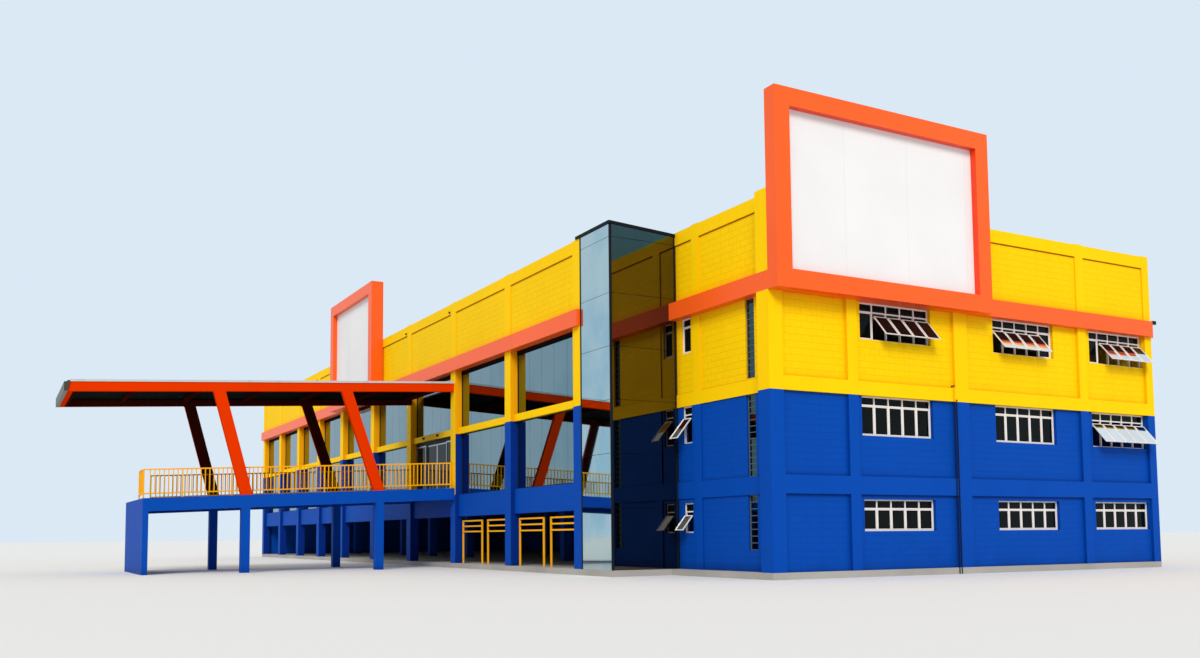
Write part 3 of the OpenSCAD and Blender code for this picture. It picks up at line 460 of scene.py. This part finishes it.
NODE_MATERIALS = {
    "concrete": ["ground_slab", "main_floor", "upper_floor", "roof_slab"],
    "roof_metal": ["roof_sheets"],
    "blue_concrete": ["blue_columns", "inner_columns", "lower_beams", "shop_fascia", "deck",
                      "deck_supports"],
    "yellow_concrete": ["yellow_columns", "middle_beams", "shop_beams", "coping_beams"],
    "yellow_blocks": ["parapet_panels", "right_yellow_wall", "front_yellow_wall",
                      "back_yellow_wall", "left_yellow_wall"],
    "blue_blocks": ["right_blue_wall", "front_blue_wall", "back_blue_wall", "left_blue_wall"],
    "orange_band": ["roof_band", "sign_frames"],
    "orange_steel": ["canopy_beams", "canopy_columns"],
    "yellow_steel": ["near_railing", "far_railing", "end_railing", "guard_rails"],
    "pale_metal": ["canopy_roof"],
    "white_metal": ["window_frames"],
    "dark_metal": ["tower_frame", "tower_cap", "entrance_header"],
    "dark_glass": ["window_glass", "entrance_glass"],
    "tower_glass": ["tower_glass"],
    "shop_glass": ["shop_glass"],
    "aluminium": ["entrance_frame", "left_leaf", "right_leaf"],
    "white_panel": ["sign_panels"],
}
for material_name, node_names in NODE_MATERIALS.items():
    for node_name in node_names:
        cad_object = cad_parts[node_name]
        cad_object.data.materials.clear()
        cad_object.data.materials.append(MATERIALS[material_name])


# Meshes
class Mesh:
    """Gathers bars, each placed by a function from local to world points."""

    def __init__(self):
        self.points = []
        self.faces = []

    def bar(self, low, high, place=at):
        start = len(self.points)
        corners = [(x, y, z) for z in (low[2], high[2]) for y in (low[1], high[1])
                   for x in (low[0], high[0])]
        placed = [place(*c) for c in corners]
        edges = [placed[i] - placed[0] for i in (1, 2, 4)]
        flipped = edges[0].cross(edges[1]).dot(edges[2]) < 0
        self.points += placed
        for face in ((0, 2, 3, 1), (4, 5, 7, 6), (0, 1, 5, 4), (2, 6, 7, 3), (0, 4, 6, 2),
                     (1, 3, 7, 5)):
            face = face[::-1] if flipped else face
            self.faces.append(tuple(start + i for i in face))

    def finish(self, name, material, slot, replaced=(), body="building"):
        mesh = bpy.data.meshes.new(name)
        mesh.from_pydata([tuple(p) for p in self.points], [], self.faces)
        mesh.update()
        mesh.materials.append(MATERIALS[material])
        piece = bpy.data.objects.new(name, mesh)
        bpy.context.scene.collection.objects.link(piece)
        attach(piece, body)
        if replaced:
            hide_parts(*replaced)


def wall_place(origin, along, out):
    """Local points: u along the wall as seen from outside, d outwards, v up."""
    along, out = Vector(along), Vector(out)

    def place(u, d, v):
        return origin + along * u + out * d + Vector((0, 0, v))
    return place


# Windows: a fixed row of lights over a row of top-hung sashes; spans along the depth count
# outwards from the frame's back, and a sash's own from its hinge
BAR, SASH_BAR = 0.020, 0.013
BAR_DEPTH, CROSS_BAR_SETBACK = 0.030, 0.002
FIXED_ROW = 0.125
PANE_SPAN = (0.010, 0.016)
SASH_GAP, HINGE_SETBACK = 0.002, 0.004
STILE_SPAN, RAIL_SPAN, SASH_PANE_SPAN = (-0.016, 0), (-0.015, -0.001), (-0.010, -0.007)
SASH_LEAN = math.radians(40)
SASH_DROP, SASH_OUT = 0.045, 0.035
STAY_W, STAY_H, STAY_REACH = 0.003, 0.008, 0.19
window_bars, window_panes, slot_bars, slot_panes = Mesh(), Mesh(), Mesh(), Mesh()
sash_bars, sash_panes = Mesh(), Mesh()


def window(place, width, height, lights, open_lights=(), eaves=0.0):
    """A window whose open sashes show a painted reflection of the dark eaves, as dark glass in the
    upper share of their panes.
    """
    pitch = (width - BAR) / lights
    rail = height - FIXED_ROW - BAR
    for i in range(lights + 1):
        window_bars.bar((i * pitch, 0, 0), (i * pitch + BAR, BAR_DEPTH, height), place)
    for v in (0, rail, height - BAR):
        for i in range(lights):
            window_bars.bar((i * pitch + BAR, CROSS_BAR_SETBACK, v),
                            ((i + 1) * pitch, BAR_DEPTH - CROSS_BAR_SETBACK, v + BAR), place)
    window_panes.bar((BAR, PANE_SPAN[0], rail + BAR), (width - BAR, PANE_SPAN[1], height - BAR),
                     place)
    for i in range(lights):
        left, right = i * pitch + BAR, (i + 1) * pitch
        if i + 1 in open_lights:
            sash(place, left, right, BAR, rail, SASH_LEAN, eaves)
            stay(place, left, rail)
        else:
            sash(place, left, right, BAR, rail)


def sash(place, left, right, bottom, top, lean=0.0, eaves=1.0):
    """A sash between a light's sides; an open one has slid down and leans out at its foot. The
    upper share of its glass given by eaves goes to the window's own dark panes, which on an open
    sash is a painted reflection of the dark eaves."""
    hinge = BAR_DEPTH - HINGE_SETBACK + (SASH_OUT if lean else 0)
    drop = SASH_DROP if lean else 0

    def leaning(u, d, v):
        return place(u, hinge + d * math.cos(lean) + (top - v) * math.sin(lean),
                     top - drop - (top - v) * math.cos(lean) + d * math.sin(lean))
    left, right = left + SASH_GAP, right - SASH_GAP
    low, high = bottom + SASH_GAP, top - SASH_GAP
    for u in (left, right - SASH_BAR):
        sash_bars.bar((u, STILE_SPAN[0], low), (u + SASH_BAR, STILE_SPAN[1], high), leaning)
    for v in (low, high - SASH_BAR):
        sash_bars.bar((left + SASH_BAR, RAIL_SPAN[0], v),
                      (right - SASH_BAR, RAIL_SPAN[1], v + SASH_BAR), leaning)
    foot, head = low + SASH_BAR, high - SASH_BAR
    change = head - (head - foot) * eaves
    for panes, v in ((sash_panes, (foot, change)), (window_panes, (change, head))):
        if v[1] > v[0]:
            panes.bar((left + SASH_BAR, SASH_PANE_SPAN[0], v[0]),
                      (right - SASH_BAR, SASH_PANE_SPAN[1], v[1]), leaning)


def stay(place, left, top):
    """A flat stay from the frame's jamb to an open sash."""
    stay_u, fixing_out, fixing_drop = left + 0.004, 0.012, 0.05
    low = Vector((stay_u, fixing_out, top - fixing_drop))
    high = Vector((stay_u, BAR_DEPTH + SASH_OUT + math.sin(SASH_LEAN) * STAY_REACH,
                   top - SASH_DROP - math.cos(SASH_LEAN) * STAY_REACH))
    width = Vector((STAY_W, 0, 0))
    side = Vector((0, 0, STAY_H))
    start = len(sash_bars.points)
    for p in (low, high):
        for q in (p, p + width, p + width + side, p + side):
            sash_bars.points.append(place(*q))
    for a, b, c, d in ((0, 1, 5, 4), (1, 2, 6, 5), (2, 3, 7, 6), (3, 0, 4, 7), (3, 2, 1, 0),
                       (4, 5, 6, 7)):
        sash_bars.faces.append((start + a, start + b, start + c, start + d))


SLOT_ROW, SLOT_BAR, SLOT_BAR_SETBACK = 0.095, 0.012, 0.004
SLOT_PANE_SPAN = (0.012, 0.018)


def slot_window(place, width, height):
    """A tall narrow window of many small panes."""
    rows = round(height / SLOT_ROW)
    pitch = (height - SLOT_BAR) / rows
    for u in (0, width - SLOT_BAR):
        slot_bars.bar((u, 0, 0), (u + SLOT_BAR, BAR_DEPTH, height), place)
    for i in range(rows + 1):
        slot_bars.bar((SLOT_BAR, SLOT_BAR_SETBACK, i * pitch),
                      (width - SLOT_BAR, BAR_DEPTH - SLOT_BAR_SETBACK, i * pitch + SLOT_BAR),
                      place)
    slot_panes.bar((SLOT_BAR, SLOT_PANE_SPAN[0], SLOT_BAR),
                   (width - SLOT_BAR, SLOT_PANE_SPAN[1], height - SLOT_BAR), place)


WINDOW_W, NARROW_W, SLOT_W, LEFT_WINDOW_W = 1.450, 0.265, 0.216, 1.300
NARROW_X, SLOT_X = -2.441, -0.743
SETBACK, WALL_FACE = 0.055, 0.045
FRONT_WALL_Y, FRONT_SETBACK = 0.150, 0.028
# Sill and head of each row, lowest first
ROWS = [(0.670, 1.140), (2.085, 2.680), (3.530, 4.095)]
SLOTS = [(0.410, 1.210), (1.475, 2.680), (2.915, 4.095)]
RIGHT_WINDOWS = [1.740, 4.580, 6.950]
LIGHTS = 5
# By row and column of the right wall: the lights that stand open, counted from 1 at the left, and
# the share of their panes given a painted reflection of the dark eaves
OPEN = {(2, 0): (2, 3, 4, 5), (2, 1): (1, 2, 3, 4), (2, 2): (2, 3, 4, 5), (1, 2): (1, 2, 3, 4, 5)}
PAINTED_EAVES_SHARE = {(2, 0): 1.0, (2, 1): 0.55, (2, 2): 0.45, (1, 2): 0.15}
frame_back = WALL_FACE + SETBACK + BAR_DEPTH
front_back = FRONT_WALL_Y + FRONT_SETBACK + BAR_DEPTH
for row, (sill, head) in enumerate(ROWS):
    for column, y in enumerate(RIGHT_WINDOWS):
        window(wall_place(at(-frame_back, y, sill), (0, 1, 0), (1, 0, 0)), WINDOW_W, head - sill,
               LIGHTS, OPEN.get((row, column), ()), PAINTED_EAVES_SHARE.get((row, column), 0.0))
    window(wall_place(at(NARROW_X, front_back, sill), (1, 0, 0), (0, -1, 0)), NARROW_W,
           head - sill, 1, (1,) if row < 2 else ())
for sill, head in SLOTS:
    slot_window(wall_place(at(SLOT_X, front_back, sill), (1, 0, 0), (0, -1, 0)), SLOT_W,
                head - sill)


def gaps_between(spans):
    """The stretches between spans that are given in order."""
    return [(a[1], b[0]) for a, b in zip(spans, spans[1:])]


FRONT_COLUMNS = [(column_left(i), column_left(i) + COLUMN_W) for i in range(ALL_BAYS, -1, -1)]
BACK_GAPS = gaps_between(FRONT_COLUMNS + [(-CORNER_W, 0)])
LEFT_GAPS = gaps_between([(-PROJECTION, -PROJECTION + FRONT_CORNER_D), *MID_COLUMNS,
                          (DEPTH - BACK_CORNER_D, DEPTH)])
# The hidden walls have the two upper rows, with a few open sashes here and there
for row in (1, 2):
    sill, head = ROWS[row]
    for i, (start, end) in enumerate(BACK_GAPS):
        left = (start + end + WINDOW_W) / 2
        opened = (2, 4) if (i + row) % 4 == 1 else ()
        window(wall_place(at(left, DEPTH - frame_back, sill), (-1, 0, 0), (0, 1, 0)), WINDOW_W,
               head - sill, LIGHTS, opened)
    for i, (start, end) in enumerate(LEFT_GAPS):
        left = (start + end + LEFT_WINDOW_W) / 2
        opened = (1, 2) if (i + row) % 3 == 1 else ()
        window(wall_place(at(FAR_X + frame_back, left, sill), (0, -1, 0), (-1, 0, 0)),
               LEFT_WINDOW_W, head - sill, LIGHTS, opened)
window_bars.finish("window_bars", "white_metal", "white_frames", ["window_frames"])
window_panes.finish("window_panes", "dark_glass", "mirror_glass", ["window_glass"])
slot_bars.finish("slot_bars", "grey_metal", "white_frames")
slot_panes.finish("slot_panes", "slot_glass", "mirror_glass")
sash_bars.finish("sash_bars", "white_metal", "white_frames")
sash_panes.finish("sash_panes", "sash_glass", "mirror_glass")


# Shopfront: panes that meet edge to edge, in a thin dark frame
PANE_PITCH, PANE_GAP, PANE_T = 0.50, 0.005, 0.010
FRAME_RAIL, FRAME_JAMB, POST_W, POST_DEPTH = 0.02, 0.015, 0.024, 0.05
GLASS_SETBACK = 0.155
# How far rails and jambs reach outwards and inwards from the glass's outer face
RAIL_OUT_IN, JAMB_OUT_IN = (0.012, 0.03), (0.010, 0.028)
shop_panes, shop_frames, shop_headers = Mesh(), Mesh(), Mesh()
glass_y = -PROJECTION + GLASS_SETBACK
# The entrance lies in the third bay from the tower
ENTRANCE_BAY = ALL_BAYS - 3


def glazing(x0, x1, z0, z1):
    """The panes of a bay, with posts behind their joints and a thin frame round them."""
    count = round((x1 - x0) / PANE_PITCH)
    pitch = (x1 - x0) / count
    for i in range(count):
        shop_panes.bar((x0 + i * pitch + PANE_GAP / 2, glass_y, z0 + FRAME_RAIL),
                       (x0 + (i + 1) * pitch - PANE_GAP / 2, glass_y + PANE_T, z1 - FRAME_RAIL))
        if i:
            shop_frames.bar((x0 + i * pitch - POST_W / 2, glass_y + PANE_T, z0),
                            (x0 + i * pitch + POST_W / 2, glass_y + PANE_T + POST_DEPTH, z1))
    for z in (z0, z1 - FRAME_RAIL):
        shop_frames.bar((x0, glass_y - RAIL_OUT_IN[0], z),
                        (x1, glass_y + RAIL_OUT_IN[1], z + FRAME_RAIL))
    for x in (x0, x1 - FRAME_JAMB):
        shop_frames.bar((x, glass_y - JAMB_OUT_IN[0], z0 + FRAME_RAIL),
                        (x + FRAME_JAMB, glass_y + JAMB_OUT_IN[1], z1 - FRAME_RAIL))


FASCIA_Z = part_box("shop_fascia")[1].z
SHOP_BEAM_Z, SHOP_BEAM_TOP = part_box("shop_beams")[0].z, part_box("shop_beams")[1].z
HEADER_H, HEADER_SPAN = 0.080, (-0.020, -0.012)
for i, (x0, x1) in enumerate(gaps_between(FRONT_COLUMNS)):
    glazing(x0, x1, SHOP_BEAM_TOP, BAND_Z)
    # A dark header strip under the band, made darker as painted shade
    shop_headers.bar((x0, glass_y + HEADER_SPAN[0], BAND_Z - HEADER_H),
                     (x1, glass_y + HEADER_SPAN[1], BAND_Z))
    if i != ENTRANCE_BAY:
        glazing(x0, x1, FASCIA_Z, SHOP_BEAM_Z)
# Glass on both faces of the sliding doors' panes
DOOR_STILE, DOOR_Z, DOOR_GLASS_Y = 0.034, (1.656, 2.691), (-0.9135, -0.8995)
DOOR_LEAVES = {"left_door": (-11.265, -10.623), "right_door": (-10.617, -9.975)}
for door, (x0, x1) in DOOR_LEAVES.items():
    door_glass = Mesh()
    door_glass.bar((x0 + DOOR_STILE, DOOR_GLASS_Y[0], DOOR_Z[0] + DOOR_STILE),
                   (x1 - DOOR_STILE, DOOR_GLASS_Y[1], DOOR_Z[1] - DOOR_STILE))
    door_glass.finish(door + "_glass", "dark_glass", "mirror_glass", body=door)
shop_panes.finish("shop_panes", "shop_glass", "mirror_glass", ["shop_glass"])
shop_frames.finish("shop_frames", "dark_metal", "dark_metal")
shop_headers.finish("shop_headers", "shaded_header_metal", "dark_metal")


# Roofs of ribbed sheet
RIB_FOOT, RIB_TOP, RIB_END = 0.55, 0.67, 0.88


def ribbed(mesh, x0, x1, pitch, rib, thickness, line):
    """A ribbed sheet from x0 to x1, whose ribs run along a line of two points (y, z)."""
    count = max(1, round((x1 - x0) / pitch))
    step = (x1 - x0) / count
    profile = []
    for i in range(count):
        start = x0 + i * step
        profile += [(start, 0), (start + step * RIB_FOOT, 0), (start + step * RIB_TOP, rib),
                    (start + step * RIB_END, rib)]
    profile.append((x1, 0))
    outline = profile + [(x, h - thickness) for x, h in reversed(profile)]
    (ya, za), (yb, zb) = line
    start, n = len(mesh.points), len(outline)
    for y, z in ((ya, za), (yb, zb)):
        mesh.points += [at(x, y, z + h) for x, h in outline]
    half = len(profile)
    for i in range(n):
        j = (i + 1) % n
        mesh.faces.append((start + i, start + j, start + n + j, start + n + i))
    for i in range(half - 1):
        quad = (i, i + 1, n - 2 - i, n - 1 - i)
        mesh.faces.append(tuple(start + k for k in quad)[::-1])
        mesh.faces.append(tuple(start + n + k for k in quad))


CANOPY_TOP, CANOPY_FALL = 3.840, 0.055
SHEET_T, RIBS_LIFT, CEILING_DROP = 0.022, 0.003, 0.045
ROOF_RIBS = {"pitch": 0.125, "rib": 0.016, "thickness": 0.002}
CEILING_RIBS = {"pitch": 0.09, "rib": 0.012, "thickness": 0.003}


def canopy_line(end, rise):
    """The canopy's fall from the wall to a place along Y, at a height over the beams' tops."""
    return [(y, CANOPY_TOP + (y + PROJECTION) * CANOPY_FALL + rise) for y in (-PROJECTION, end)]


canopy_ribs, canopy_ceiling = Mesh(), Mesh()
ribbed(canopy_ribs, *canopy_x, line=canopy_line(-beam_end, SHEET_T + RIBS_LIFT), **ROOF_RIBS)
canopy_ribs.finish("canopy_ribs", "roof_metal", "pale_metal")
# The canopy's ribbed underside, near black as painted shade
ribbed(canopy_ceiling, canopy_low.x + EDGE_W - corner_x, canopy_high.x - EDGE_W - corner_x,
       line=canopy_line(-beam_end + EDGE_W, -CEILING_DROP), **CEILING_RIBS)
canopy_ceiling.finish("canopy_ceiling", "shaded_dark_sheet", "dark_metal")


# Lamps and conduits
ROUND_SIDES = 12


def cylinder(mesh, start, end, radius):
    """A round bar between two points."""
    axis = (end - start).normalized()
    side = axis.orthogonal().normalized()
    other = axis.cross(side)
    first = len(mesh.points)
    for centre in (start, end):
        for i in range(ROUND_SIDES):
            angle = 2 * math.pi * i / ROUND_SIDES
            mesh.points.append(centre + (side * math.cos(angle) + other * math.sin(angle)) * radius)
    second = first + ROUND_SIDES
    for i in range(ROUND_SIDES):
        j = (i + 1) % ROUND_SIDES
        mesh.faces.append((first + i, first + j, second + j, second + i))
    mesh.faces.append(tuple(range(first, second))[::-1])
    mesh.faces.append(tuple(range(second, second + ROUND_SIDES)))


# Two conduits run up the right wall in front of its beams, darker than the wall as painted shade:
# near black on the blue paint, a deeper yellow above
dark_conduits, yellow_conduits = Mesh(), Mesh()
CONDUIT_X, CONDUIT_R, CONDUIT_END_R = 0.009, 0.008, 0.011
CONDUITS_Y, CONDUIT_TOPS = (3.607, 3.658), (2.924, 2.700)
for y, top in zip(CONDUITS_Y, CONDUIT_TOPS):
    cylinder(dark_conduits, at(CONDUIT_X, y, 0), at(CONDUIT_X, y, PAINT_Z), CONDUIT_R)
    cylinder(yellow_conduits, at(CONDUIT_X, y, PAINT_Z), at(CONDUIT_X, y, top), CONDUIT_R)
    cylinder(dark_conduits, at(-WALL_FACE, y, top), at(CONDUIT_X + CONDUIT_R, y, top),
             CONDUIT_END_R)
dark_conduits.finish("dark_conduits", "dark_metal", "dark_metal")
yellow_conduits.finish("yellow_conduits", "yellow_steel", "yellow_metal")

# Floodlight on a bracket at the right wall's far end; its parts from that end at the lamp's height
LAMP_Z, ARM_R = 4.36, 0.008
ARM_ENDS = (-0.075, 0, -0.030), (-0.075, 0.110, 0)
BRACKET = (-0.090, 0, -0.045), (-0.060, 0.006, 0.025)
HOUSING = (-0.130, 0.090, -0.010), (-0.010, 0.185, 0.050)
LENS = (-0.125, 0.095, -0.016), (-0.015, 0.180, -0.010)


def by_lamp(x, y, z):
    return at(x, DEPTH + y, LAMP_Z + z)


floodlight, floodlight_glass = Mesh(), Mesh()
floodlight.bar(*BRACKET, by_lamp)
cylinder(floodlight, *(by_lamp(*end) for end in ARM_ENDS), ARM_R)
floodlight.bar(*HOUSING, by_lamp)
floodlight_glass.bar(*LENS, by_lamp)
floodlight.finish("floodlight", "dark_metal", "dark_metal")
floodlight_glass.finish("floodlight_glass", "lamp_glass", "mirror_glass")

# Small lamps on the front's coping beam, beside the pilasters
COPING_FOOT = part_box("coping_beams")[0].z
COPING_LAMP_SIDE, COPING_LAMP_LIFT, COPING_LAMP_R = 0.045, 0.045, 0.020
COPING_LAMP_L, COPING_LAMP_DIP = 0.030, 0.005
coping_lamps = Mesh()
for i in range(2, NEAR_BAYS + 1):
    x, z = column_left(i) - COPING_LAMP_SIDE, COPING_FOOT + COPING_LAMP_LIFT
    cylinder(coping_lamps, at(x, -PROJECTION, z),
             at(x, -PROJECTION - COPING_LAMP_L, z - COPING_LAMP_DIP), COPING_LAMP_R)
coping_lamps.finish("coping_lamps", "dark_metal", "dark_metal")

# Door sensors on the beam over the entrance
SENSOR_L, SENSOR_D, SENSOR_H, SENSOR_LIFT, BEAM_SETBACK = 0.080, 0.030, 0.040, 0.075, 0.075
SENSOR_SHARES = (0.27, 0.62)
sensors = Mesh()
door_left, door_right = gaps_between(FRONT_COLUMNS)[ENTRANCE_BAY]
sensor_z, beam_face = SHOP_BEAM_Z + SENSOR_LIFT, -PROJECTION + BEAM_SETBACK
for share in SENSOR_SHARES:
    x = door_left + (door_right - door_left) * share
    sensors.bar((x - SENSOR_L / 2, beam_face - SENSOR_D, sensor_z - SENSOR_H / 2),
                (x + SENSOR_L / 2, beam_face, sensor_z + SENSOR_H / 2))
sensors.finish("door_sensors", "dark_metal", "dark_metal")

# Blue paint on the near side of the column beside the entrance
PAINT_T, PAINT_MARGIN = 0.0015, 0.004
side_paint = Mesh()
side_x = column_left(2) + COLUMN_W
side_paint.bar((side_x, -PROJECTION + PAINT_MARGIN, FASCIA_Z),
               (side_x + PAINT_T, glass_y - JAMB_OUT_IN[0], SHOP_BEAM_Z))
side_paint.finish("column_side_paint", "blue_concrete", "blue_paint")

# Dark trims along the edges of the glass tower
tower_trims = Mesh()
TRIM_T, TRIM_GAP = 0.003, 0.002
SIDE_TRIM_W, FRONT_TRIM_W, LEFT_TRIM_W, BACK_TRIM = 0.035, 0.020, 0.038, (0.102, 0.131)
GROUND_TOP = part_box("ground_slab")[1].z
TOWER_TOP, TOWER_FALL = 5.560, 0.060


def tower_trim(x, y):
    """An upright strip that ends under the sloping cap."""
    top = TOWER_TOP - (y[1] + PROJECTION) * TOWER_FALL
    tower_trims.bar((x[0], y[0], GROUND_TOP), (x[1], y[1], top - TRIM_GAP))


front, side = -PROJECTION, -TOWER_X
tower_trim((side, side + TRIM_T), (front - TRIM_T, front + SIDE_TRIM_W))
tower_trim((side - FRONT_TRIM_W, side), (front - TRIM_T, front))
tower_trim((side, side + TRIM_T), BACK_TRIM)
tower_trim((-LEFT_X, -LEFT_X + LEFT_TRIM_W), (front - TRIM_T, front))
tower_trims.finish("tower_trims", "dark_metal", "dark_metal")


# Floor, light and surroundings
FLOOR_HALF, FLOOR_COLOUR = 400, (0.80, 0.80, 0.79)
SKY_LIGHT, SKY_LIGHT_STRENGTH = (0.95, 0.97, 1.0), 0.60
BACKDROP, BACKDROP_STRENGTH = (0.74, 0.86, 0.96), 0.95
SUN_COLOUR, SUN_ENERGY, SUN_ANGLE = (1.0, 0.97, 0.92), 2.35, math.radians(25)
SUN_DIRECTION = (-0.67, 0.48, -0.60)


def floor_material():
    material, _, _, shader = new_material("floor")
    shader.inputs["Base Color"].default_value = (*FLOOR_COLOUR, 1)
    shader.inputs["Roughness"].default_value = 0.9
    return material


def make_stage():
    mesh = bpy.data.meshes.new("floor")
    half = FLOOR_HALF
    mesh.from_pydata([(-half, -half, 0), (half, -half, 0), (half, half, 0), (-half, half, 0)], [],
                     [(0, 1, 2, 3)])
    mesh.materials.append(floor_material())
    floor = bpy.data.objects.new("floor", mesh)
    bpy.context.scene.collection.objects.link(floor)


def make_world():
    """A soft light from all sides, and a pale sky where it is seen or mirrored."""
    world = bpy.data.worlds.new("world")
    bpy.context.scene.world = world
    world.use_nodes = True
    nodes, links = world.node_tree.nodes, world.node_tree.links
    nodes.clear()
    path = nodes.new("ShaderNodeLightPath")
    seen = math_node(world.node_tree, "MAXIMUM", path.outputs["Is Camera Ray"],
                     math_node(world.node_tree, "MAXIMUM", path.outputs["Is Glossy Ray"],
                               path.outputs["Is Transmission Ray"]))
    lighting, backdrop = nodes.new("ShaderNodeBackground"), nodes.new("ShaderNodeBackground")
    lighting.inputs["Color"].default_value = (*SKY_LIGHT, 1)
    lighting.inputs["Strength"].default_value = SKY_LIGHT_STRENGTH
    backdrop.inputs["Color"].default_value = (*BACKDROP, 1)
    backdrop.inputs["Strength"].default_value = BACKDROP_STRENGTH
    mix = nodes.new("ShaderNodeMixShader")
    links.new(seen, mix.inputs[0])
    links.new(lighting.outputs[0], mix.inputs[1])
    links.new(backdrop.outputs[0], mix.inputs[2])
    links.new(mix.outputs[0], nodes.new("ShaderNodeOutputWorld").inputs[0])


def make_sun():
    data = bpy.data.lights.new("sun", "SUN")
    data.energy = SUN_ENERGY
    data.angle = SUN_ANGLE
    data.color = SUN_COLOUR
    sun = bpy.data.objects.new("sun", data)
    sun.rotation_euler = Vector(SUN_DIRECTION).to_track_quat("-Z", "Y").to_euler()
    bpy.context.scene.collection.objects.link(sun)


make_stage()
make_world()
make_sun()
bpy.context.scene.view_settings.view_transform = "Standard"
